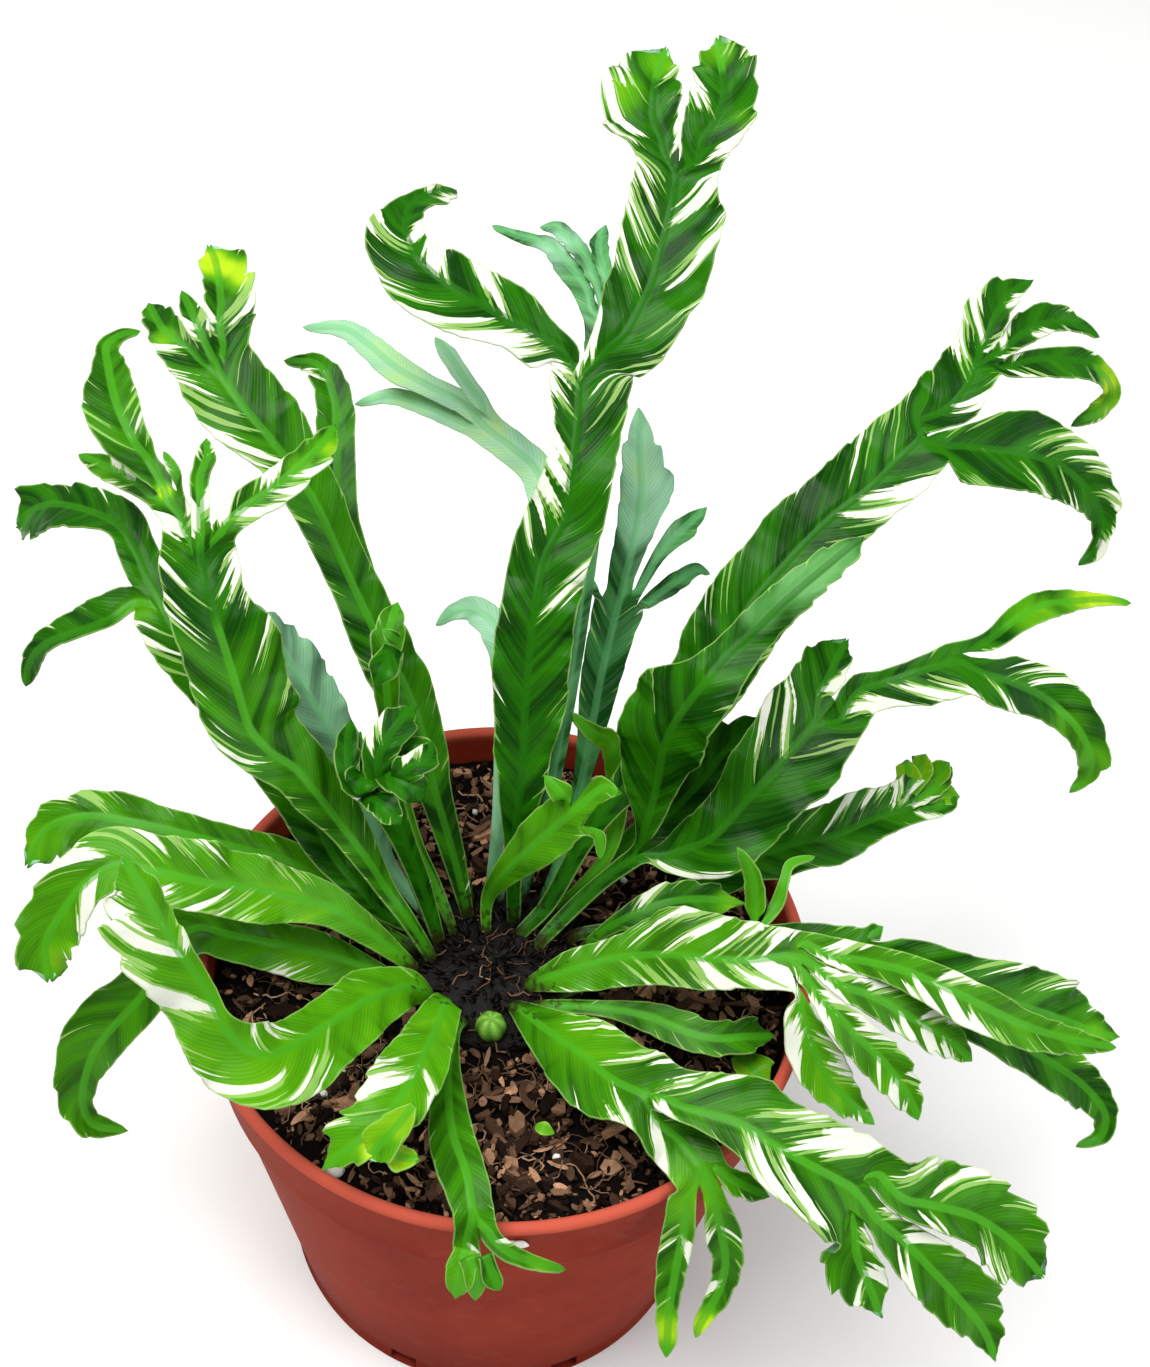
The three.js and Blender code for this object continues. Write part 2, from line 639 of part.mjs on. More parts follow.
function toGeometry(solid) {
  const mesh = solid.getMesh();
  const geometry = new THREE.BufferGeometry();
  geometry.setAttribute('position', new THREE.BufferAttribute(new Float32Array(mesh.vertProperties), 3));
  geometry.setIndex(new THREE.BufferAttribute(new Uint32Array(mesh.triVerts), 1));
  geometry.computeVertexNormals();
  return geometry;
}

function indexedGeometry(points, triangles) {
  const geometry = new THREE.BufferGeometry().setFromPoints(points);
  geometry.setIndex(triangles.flat());
  geometry.computeVertexNormals();
  return geometry;
}

// Pot: a lathed shell with a collar band, a rounded lip, a foot ring and a flat pad under its middle.
function makePot() {
  const stepHeight = potHeight - collarHeight;
  const wallTop = collarRadius - 1.4;
  const innerTop = rimRadius - 3;
  const profile = [
    [0, 0],
    [padRadius, 0],
    [padRadius + 0.5, footHeight],
    [baseRadius - 8, footHeight],
    [baseRadius - 4, footHeight],
    [baseRadius - 3.6, 0],
    [baseRadius, 0],
    [baseRadius - 0.4, footHeight],
    [wallTop, stepHeight - 0.8],
    [collarRadius, stepHeight],
    [rimRadius - 1.5, potHeight - lipHeight],
    [rimRadius, potHeight - 2],
    [rimRadius - 0.6, potHeight - 0.4],
    [rimRadius - 1.8, potHeight],
    [innerTop, potHeight - 0.8],
    [innerTop - 0.8, potHeight - lipHeight],
    [collarRadius - wallThickness, stepHeight + 1],
    [wallTop - wallThickness, stepHeight - 2],
    [baseRadius - wallThickness, floorTop + 2],
    [baseRadius - 8, floorTop],
    [0, floorTop],
  ].map(([radius, height]) => new THREE.Vector2(radius, height));
  const shell = new THREE.LatheGeometry(profile, potSides);
  shell.rotateX(Math.PI / 2);
  let solid = toManifold(shell);
  const { count, width, inner, outer, top } = drainSlots;
  for (let i = 0; i < count; i += 1) {
    const slot = new THREE.BoxGeometry(outer - inner, width, top + 1);
    slot.translate((outer + inner) / 2, 0, (top - 1) / 2);
    slot.rotateZ((2 * Math.PI * (i + 0.5)) / count);
    solid = solid.subtract(toManifold(slot));
  }
  return toGeometry(solid);
}

// A closed body of rings of points around an upright axis, from its top centre to its foot centre.
function ringedBody(rings, topCentre, footCentre) {
  const sides = rings[0].length;
  const points = [topCentre, ...rings.flat(), footCentre];
  const triangles = [];
  const at = (ring, side) => 1 + ring * sides + (side % sides);
  for (let side = 0; side < sides; side += 1) {
    triangles.push([0, at(0, side), at(0, side + 1)]);
    for (let ring = 0; ring < rings.length - 1; ring += 1) {
      triangles.push([at(ring, side), at(ring + 1, side), at(ring + 1, side + 1)]);
      triangles.push([at(ring, side), at(ring + 1, side + 1), at(ring, side + 1)]);
    }
    triangles.push([at(rings.length - 1, side), points.length - 1, at(rings.length - 1, side + 1)]);
  }
  return indexedGeometry(points, triangles);
}

// One ring of points; heightAt gives each its height from its number around the ring.
function ring(centreX, centreY, radius, sides, heightAt) {
  return Array.from({ length: sides }, (_, side) => {
    const angle = (2 * Math.PI * side) / sides;
    const x = centreX + radius * Math.cos(angle);
    const y = centreY + radius * Math.sin(angle);
    return new THREE.Vector3(x, y, heightAt(side));
  });
}

// Soil: fills the pot to a rough top, with a plain pit for the crown.
function makeSoil() {
  const pitRadius = crown.radius + gap;
  const pitFoot = crown.foot - gap;
  const topRadii = [37, 48, 59, 69, 78];
  const wallTopRadius = collarRadius - wallThickness - 2 * gap;
  const wallFootRadius = baseRadius - wallThickness - 2 * gap;
  const edgeRadius = wallTopRadius + ((soilHeight - potHeight + collarHeight) * 2.4) / collarHeight;
  const rough = (seed) => (side) => soilHeight + 1 + soilRoughness * jitter(side, seed);
  const level = (height) => () => height;
  const rings = [
    ring(crown.x, crown.y, crown.footRadius + gap, potSides, level(pitFoot)),
    ring(crown.x, crown.y, pitRadius, potSides, level(soilHeight + 1)),
    ...topRadii.map((radius, i) => {
      const share = (topRadii.length - i) / topRadii.length;
      return ring(crown.x * share, crown.y * share, radius, potSides, rough(i + 1));
    }),
    ring(0, 0, edgeRadius, potSides, level(soilHeight)),
    ring(0, 0, wallTopRadius, potSides, level(potHeight - collarHeight + 1)),
    ring(0, 0, wallTopRadius - 1.2, potSides, level(potHeight - collarHeight - 2)),
    ring(0, 0, wallFootRadius, potSides, level(floorTop + 2 + gap)),
    ring(0, 0, baseRadius - 9, potSides, level(floorTop + gap)),
  ];
  const middle = new THREE.Vector3(crown.x, crown.y, pitFoot);
  return ringedBody(rings, middle, new THREE.Vector3(0, 0, floorTop + gap));
}

// Crown: a low scaly mound in the soil's pit, with a plain hole for each frond and for the bud.
function makeCrown(holes) {
  const { x, y, radius, footRadius, foot, top, sides } = crown;
  const scaly = (height, seed) => (side) => height + 1.2 * jitter(side, seed);
  const rings = [
    ring(x, y, radius * 0.25, sides, scaly(top, 21)),
    ring(x, y, radius * 0.5, sides, scaly(top - 1, 22)),
    ring(x, y, radius * 0.75, sides, scaly(top - 2.5, 23)),
    ring(x, y, radius * 0.94, sides, scaly(top - 5, 24)),
    ring(x, y, radius, sides, () => soilHeight + 1),
    ring(x, y, footRadius, sides, () => foot),
  ];
  const topCentre = new THREE.Vector3(x, y, top);
  let solid = toManifold(ringedBody(rings, topCentre, new THREE.Vector3(x, y, foot)));
  for (const hole of holes) solid = solid.subtract(hole);
  return toGeometry(solid);
}

// Bud: a round crozier on a short stalk that stands in the crown.
function makeBud(grow) {
  const { x, y, z, radius, stalkRadius, stalkFoot } = bud;
  const profile = [new THREE.Vector2(0, stalkFoot - z - grow)];
  profile.push(new THREE.Vector2(stalkRadius + grow, stalkFoot - z - grow));
  const lowest = -Math.acos((stalkRadius + grow) / (radius + grow));
  for (let step = 0; step <= 6; step += 1) {
    const angle = lowest + ((Math.PI / 2 - lowest) * step) / 6;
    const across = step === 6 ? 0 : (radius + grow) * Math.cos(angle);
    profile.push(new THREE.Vector2(across, (radius + grow) * Math.sin(angle)));
  }
  const body = new THREE.LatheGeometry(profile, 12);
  body.rotateX(Math.PI / 2);
  body.translate(x, y, z);
  return toManifold(body);
}

function catmullRom(a, b, c, d, t) {
  const linear = 2 * b + (c - a) * t;
  const square = (2 * a - 5 * b + 4 * c - d) * t * t;
  const cubic = (3 * b - a - 3 * c + d) * t * t * t;
  return 0.5 * (linear + square + cubic);
}

const asPoint = (row) => new THREE.Vector3(row[0], row[1], row[2]);

// Rows of x, y, z and the widths to the left and right of the midrib, along a smooth curve through
// the control rows. "before" leads into it.
function smoothRows(controls, before) {
  const beyond = controls.at(-1).map((value, i) => 2 * value - controls.at(-2)[i]);
  const all = [before, ...controls, beyond];
  const rows = [];
  for (let i = 1; i < all.length - 2; i += 1) {
    const length = asPoint(all[i]).distanceTo(asPoint(all[i + 1]));
    const steps = Math.max(1, Math.round(length / rowSpacing));
    const blend = (step) => all[i].map((value, k) => (
      catmullRom(all[i - 1][k], value, all[i + 1][k], all[i + 2][k], step / steps)
    ));
    for (let step = 0; step < steps; step += 1) rows.push(blend(step));
  }
  rows.push(controls.at(-1));
  return rows;
}

// The blade's way at a point: along it, across it to the right, and out of its face.
function bladeFrame(along, place, pale) {
  const inward = new THREE.Vector3(crown.x - place.x, faceAimY - place.y, 0).normalize();
  const facing = new THREE.Vector3(0, -frontTilt, 1).addScaledVector(inward, inwardTilt);
  if (pale) facing.negate();
  const face = facing.addScaledVector(along, -facing.dot(along)).normalize();
  return { across: new THREE.Vector3().crossVectors(along, face), face };
}

// Joins two cross rows of points with triangles. Their numbers of points may differ.
function stitch(lower, upper, triangles) {
  let i = 0;
  let j = 0;
  while (i < lower.length - 1 || j < upper.length - 1) {
    const nextLower = (i + 1) / (lower.length - 1);
    const nextUpper = (j + 1) / (upper.length - 1);
    if (j === upper.length - 1 || (i < lower.length - 1 && nextLower <= nextUpper)) {
      triangles.push([lower[i], lower[i + 1], upper[j]]);
      i += 1;
    } else {
      triangles.push([lower[i], upper[j + 1], upper[j]]);
      j += 1;
    }
  }
}

// The smooth rows of a branch that leads on in the direction "lead".
function branchRows(controls, lead) {
  const reach = asPoint(controls[1]).distanceTo(asPoint(controls[0]));
  const before = controls[0].slice();
  lead.toArray().forEach((value, i) => { before[i] -= value * reach; });
  return smoothRows(controls, before);
}

// The middle points of a branch and of all its forks.
function middlePoints(start, branch) {
  const rows = branchRows([start.row, ...branch.path], start.along).slice(1);
  const ahead = asPoint(rows.at(-1)).sub(asPoint(rows.at(-2) ?? start.row)).normalize();
  const end = { row: rows.at(-1), along: ahead };
  const further = (branch.forks ?? []).flatMap((fork) => middlePoints(end, fork));
  const middles = rows.flatMap((row, r) => {
    const before = asPoint(r ? rows[r - 1] : start.row);
    return [before.lerp(asPoint(row), 0.5), asPoint(row)];
  });
  return [...middles, ...further];
}

// How far a margin may reach from a middle point, so as to stay nearer to it than to a neighbour's
// middle line, on its own side of a crotch, and ahead of the end of the blade that it grew from.
function clearReach(place, direction, start, reach) {
  let clear = reach;
  for (const other of start?.neighbours ?? []) {
    const apart = other.clone().sub(place);
    const towards = 2 * (crotchGap + direction.dot(apart));
    const even = (apart.lengthSq() - crotchGap * crotchGap) / towards;
    if (towards > 0) clear = Math.min(clear, Math.max(smallestReach, even));
  }
  for (const { corner, outward } of start?.crotches ?? []) {
    const towards = direction.dot(outward);
    const limit = (corner.clone().sub(place).dot(outward) - crotchGap / 2) / towards;
    const near = corner.distanceTo(place) < crotchReach;
    if (near && towards > 0.1) clear = Math.min(clear, Math.max(smallestReach, limit));
  }
  for (const end of start?.ends ?? []) {
    const apart = place.clone().sub(end.place);
    const back = -direction.dot(end.along);
    const limit = Math.max(smallestReach, apart.dot(end.along) / Math.max(back, 1e-6));
    const side = Math.abs(apart.dot(end.across) + direction.dot(end.across) * limit);
    if (back > 0 && side < end.width) clear = Math.min(clear, limit * endShare);
  }
  return clear;
}

// The line that parts each two neighbouring forks: its corner, and the way from one to the other.
function findCrotches(corners, middles, face) {
  return corners.map((corner, i) => {
    const [from, to] = [middles[i][1], middles[i + 1][1]].map((middle) => {
      const way = middle.clone().sub(corner);
      return way.addScaledVector(face, -way.dot(face)).normalize();
    });
    return { corner, outward: to.sub(from).normalize() };
  });
}

// Adds the surface of one branch, and then of its forks, to the sheet.
function addBranch(sheet, branch, start, pale, seed) {
  const controls = start ? [start.row, ...branch.path] : branch.path;
  const lead = start ? start.along : asPoint(controls[1]).sub(asPoint(controls[0])).normalize();
  const rows = branchRows(controls, lead);
  const forks = branch.forks ?? [];
  let previous = start ? start.ids : null;
  let along = lead;
  let frame;
  rows.forEach((row, r) => {
    if (r === 0 && start) return;
    const place = asPoint(row);
    if (r === 0) place.addScaledVector(lead, -sheet.grow);
    const [left, right] = [row[3], row[4]].map((half) => Math.max(half, smallestHalfWidth) + sheet.grow);
    const width = (left + right) / 2;
    const last = r === rows.length - 1;
    const next = asPoint(rows[Math.min(r + 1, rows.length - 1)]);
    along = next.sub(asPoint(rows[Math.max(r - 1, 0)])).normalize();
    frame = bladeFrame(along, place, pale);
    sheet.station += r > 0 ? place.distanceTo(asPoint(rows[r - 1])) : 0;
    const cuts = last && forks.length > 1 ? forkShares(forks, place, frame) : [-1, 0, 1];
    const byFork = (start && r === 1) || (last && forks.length > 0);
    const fade = THREE.MathUtils.clamp((width - 3) / 5, 0, 1) * (byFork ? forkCalm : 1);
    const ids = cuts.map((v) => {
      const edge = v * v;
      const turn = r % 2 ? 1 : -1;
      const ripple = turn * (0.7 + 0.5 * jitter(sheet.rowCount, seed + Math.sign(v)));
      const bulge = 1 + lobing * fade * jitter(sheet.rowCount, seed + 7 * Math.sign(v)) * edge;
      const outward = frame.across.clone().multiplyScalar(Math.sign(v));
      const half = v < 0 ? left : right;
      const reach = clearReach(place, outward, start, Math.abs(v) * half * bulge);
      const point = place.clone()
        .addScaledVector(outward, reach)
        .addScaledVector(frame.face, Math.abs(v) * reach * (cup + ruffle * fade * ripple));
      const petiole = Math.exp(-sheet.station / petioleFade) * petioleThickness;
      sheet.points.push(point);
      sheet.thickness.push(petiole + ribThickness + (marginThickness - ribThickness) * edge);
      return sheet.points.length - 1;
    });
    if (previous) stitch(previous, ids, sheet.triangles);
    previous = ids;
    sheet.rowCount += 1;
  });
  if (!forks.length) return;
  const endRow = rows.at(-1);
  const endPlace = asPoint(endRow);
  const endWidth = Math.max(endRow[3], endRow[4]) * 1.2;
  const end = { place: endPlace, along, across: frame.across, width: endWidth };
  const cuts = forks.length > 1 ? forkShares(forks, endPlace, frame) : [-1, 1];
  const station = sheet.station;
  const arms = sortedForks(forks, endPlace, frame);
  const starts = arms.map((_, i) => {
    const [from, to] = [cuts[i], cuts[i + 1]].map((v) => v * (v < 0 ? endRow[3] : endRow[4]));
    const place = endPlace.clone().addScaledVector(frame.across, (from + to) / 2);
    const half = (to - from) / 2;
    return { row: [...place.toArray(), half, half], along, ids: [previous[i], previous[i + 1]] };
  });
  const middles = arms.map((fork, i) => middlePoints(starts[i], fork));
  const corners = previous.slice(1, -1).map((id) => sheet.points[id]);
  const crotches = forks.length > 1 ? findCrotches(corners, middles, frame.face) : [];
  arms.forEach((fork, i) => {
    const others = middles.filter((_, other) => other !== i).flat();
    starts[i].neighbours = [...(start?.neighbours ?? []), ...others];
    starts[i].ends = [...(start?.ends ?? []), end];
    const left = crotches.slice(Math.max(i - 1, 0), i);
    const backward = left.map(({ corner, outward }) => ({ corner, outward: outward.clone().negate() }));
    starts[i].crotches = [...backward, ...crotches.slice(i, i + 1)];
    sheet.station = station;
    addBranch(sheet, fork, starts[i], pale, seed + 3 + i);
  });
}

// Forks in order from left to right across the blade.
function sortedForks(forks, place, frame) {
  const side = (fork) => asPoint(fork.path[0]).sub(place).dot(frame.across);
  return [...forks].sort((a, b) => side(a) - side(b));
}

// Where the forks part across the blade, from -1 to 1, in proportion to their widths.
function forkShares(forks, place, frame) {
  const widths = sortedForks(forks, place, frame).map((fork) => fork.path[0][3] + fork.path[0][4]);
  const total = widths.reduce((sum, width) => sum + width, 0);
  const shares = [-1];
  widths.forEach((width) => shares.push(shares.at(-1) + (2 * width) / total));
  shares[shares.length - 1] = 1;
  return shares;
}

// Gives a sheet its thickness: a face on either side, and walls around its open edge.
function thicken(sheet) {
  const normals = sheet.points.map(() => new THREE.Vector3());
  for (const [a, b, c] of sheet.triangles) {
    const ab = sheet.points[b].clone().sub(sheet.points[a]);
    const ac = sheet.points[c].clone().sub(sheet.points[a]);
    const normal = ab.cross(ac);
    for (const corner of [a, b, c]) normals[corner].add(normal);
  }
  const count = sheet.points.length;
  const offset = (side) => sheet.points.map((point, i) => {
    const half = sheet.thickness[i] / 2 + sheet.grow;
    return point.clone().addScaledVector(normals[i].clone().normalize(), side * half);
  });
  const triangles = sheet.triangles.map(([a, b, c]) => [a, b, c]);
  const edges = new Map();
  for (const [a, b, c] of sheet.triangles) {
    triangles.push([a + count, c + count, b + count]);
    for (const [from, to] of [[a, b], [b, c], [c, a]]) edges.set(`${from},${to}`, [from, to]);
  }
  for (const [from, to] of edges.values()) {
    if (edges.has(`${to},${from}`)) continue;
    triangles.push([from, from + count, to + count]);
    triangles.push([from, to + count, to]);
  }
  return indexedGeometry([...offset(1), ...offset(-1)], triangles);
}

// One frond as a closed solid. "grow" makes it larger all round, to cut its hole.
function makeFrond(frond, seed, grow) {
  const [x, y, z, left, right] = frond.path[0];
  const rootX = x + (crown.x - x) * rootLean;
  const rootY = y + (crown.y - y) * rootLean;
  const rooted = [[rootX, rootY, z - rootDepth, left, right], ...frond.path];
  const branch = grow ? { path: rooted.slice(0, 5) } : { path: rooted, forks: frond.forks };
  const sheet = { points: [], thickness: [], triangles: [], station: 0, rowCount: 0, grow };
  addBranch(sheet, branch, null, frond.pale, seed);
  return thicken(sheet);
}

function makeMesh(name, geometry, look) {
  const mesh = new THREE.Mesh(geometry, new THREE.MeshStandardMaterial(look));
  mesh.name = name;
  return mesh;
}

const group = new THREE.Group();
group.add(makeMesh('pot', makePot(), terracotta));
group.add(makeMesh('soil', makeSoil(), darkSoil));
const holes = fronds.map((frond, i) => toManifold(makeFrond(frond, 10 * (i + 1), holeGap)));
group.add(makeMesh('crown', makeCrown([...holes, makeBud(holeGap)]), blackScales));
group.add(makeMesh('bud', toGeometry(makeBud(0)), budGreen));
fronds.forEach((frond, i) => {
  const look = frond.pale ? paleGreen : topGreen;
  group.add(makeMesh(frond.name, makeFrond(frond, 10 * (i + 1), 0), look));
});

export default group;
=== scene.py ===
import math
import random

import bpy
import numpy as np
from mathutils import Matrix, Vector, noise
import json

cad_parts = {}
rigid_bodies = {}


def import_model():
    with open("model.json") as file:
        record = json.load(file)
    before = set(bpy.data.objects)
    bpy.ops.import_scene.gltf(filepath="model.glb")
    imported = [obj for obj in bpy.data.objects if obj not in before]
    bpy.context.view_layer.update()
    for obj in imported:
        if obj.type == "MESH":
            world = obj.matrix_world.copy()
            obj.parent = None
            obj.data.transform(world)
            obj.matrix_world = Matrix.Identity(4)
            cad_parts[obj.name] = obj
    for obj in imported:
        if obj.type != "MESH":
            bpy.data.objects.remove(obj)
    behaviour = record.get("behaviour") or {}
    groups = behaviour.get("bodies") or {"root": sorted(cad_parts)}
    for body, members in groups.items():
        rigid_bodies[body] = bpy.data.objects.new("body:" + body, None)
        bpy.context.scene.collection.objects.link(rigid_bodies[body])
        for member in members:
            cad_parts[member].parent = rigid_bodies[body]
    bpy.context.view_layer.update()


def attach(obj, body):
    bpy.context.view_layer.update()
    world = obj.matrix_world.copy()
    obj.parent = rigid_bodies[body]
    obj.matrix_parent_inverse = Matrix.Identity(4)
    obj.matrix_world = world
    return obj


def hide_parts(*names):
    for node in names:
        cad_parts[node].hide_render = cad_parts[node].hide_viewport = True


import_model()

# Lengths below are millimetres in the model's own frame, and MM turns them into metres.
MM = 0.001

# Camera: a photo 1150 pixels wide, seen from the front and above.
PHOTO_WIDTH = 1150
PHOTO_HEIGHT = 1367
FOCAL_PIXELS = 1800
SENSOR_WIDTH = 36
CAMERA_PLACE = (0, -316, 572)
CAMERA_PITCH = 45.2
CAMERA_YAW = 2.5
CAMERA_ROLL = 4.8


def make_camera():
    pitch, yaw, roll = (math.radians(a) for a in (CAMERA_PITCH, CAMERA_YAW, CAMERA_ROLL))
    forward = Vector((math.sin(yaw) * math.cos(pitch), math.cos(yaw) * math.cos(pitch), -math.sin(pitch)))
    level = Vector((math.cos(yaw), -math.sin(yaw), 0))
    upward = level.cross(forward)
    right = level * math.cos(roll) + upward * math.sin(roll)
    up = upward * math.cos(roll) - level * math.sin(roll)
    data = bpy.data.cameras.new("camera")
    data.sensor_width = SENSOR_WIDTH
    data.sensor_fit = "HORIZONTAL"
    data.lens = FOCAL_PIXELS / PHOTO_WIDTH * SENSOR_WIDTH
    camera = bpy.data.objects.new("camera", data)
    turn = Matrix((right, up, -forward)).transposed().to_4x4()
    camera.matrix_world = Matrix.Translation(Vector(CAMERA_PLACE) * MM) @ turn
    bpy.context.scene.collection.objects.link(camera)
    bpy.context.scene.camera = camera


make_camera()


class Arm:
    """A stretch of a blade, and the arms that it forks into.

    A point of its path is x, y and z on the midrib, and the blade's widths to the left and right of it.
    """

    def __init__(self, path, forks):
        self.path = [np.array(point, float) for point in path]
        self.forks = list(forks)
        self.station = 0
        self.jag = 0.5


def arm(path, *forks):
    return Arm(path, forks)


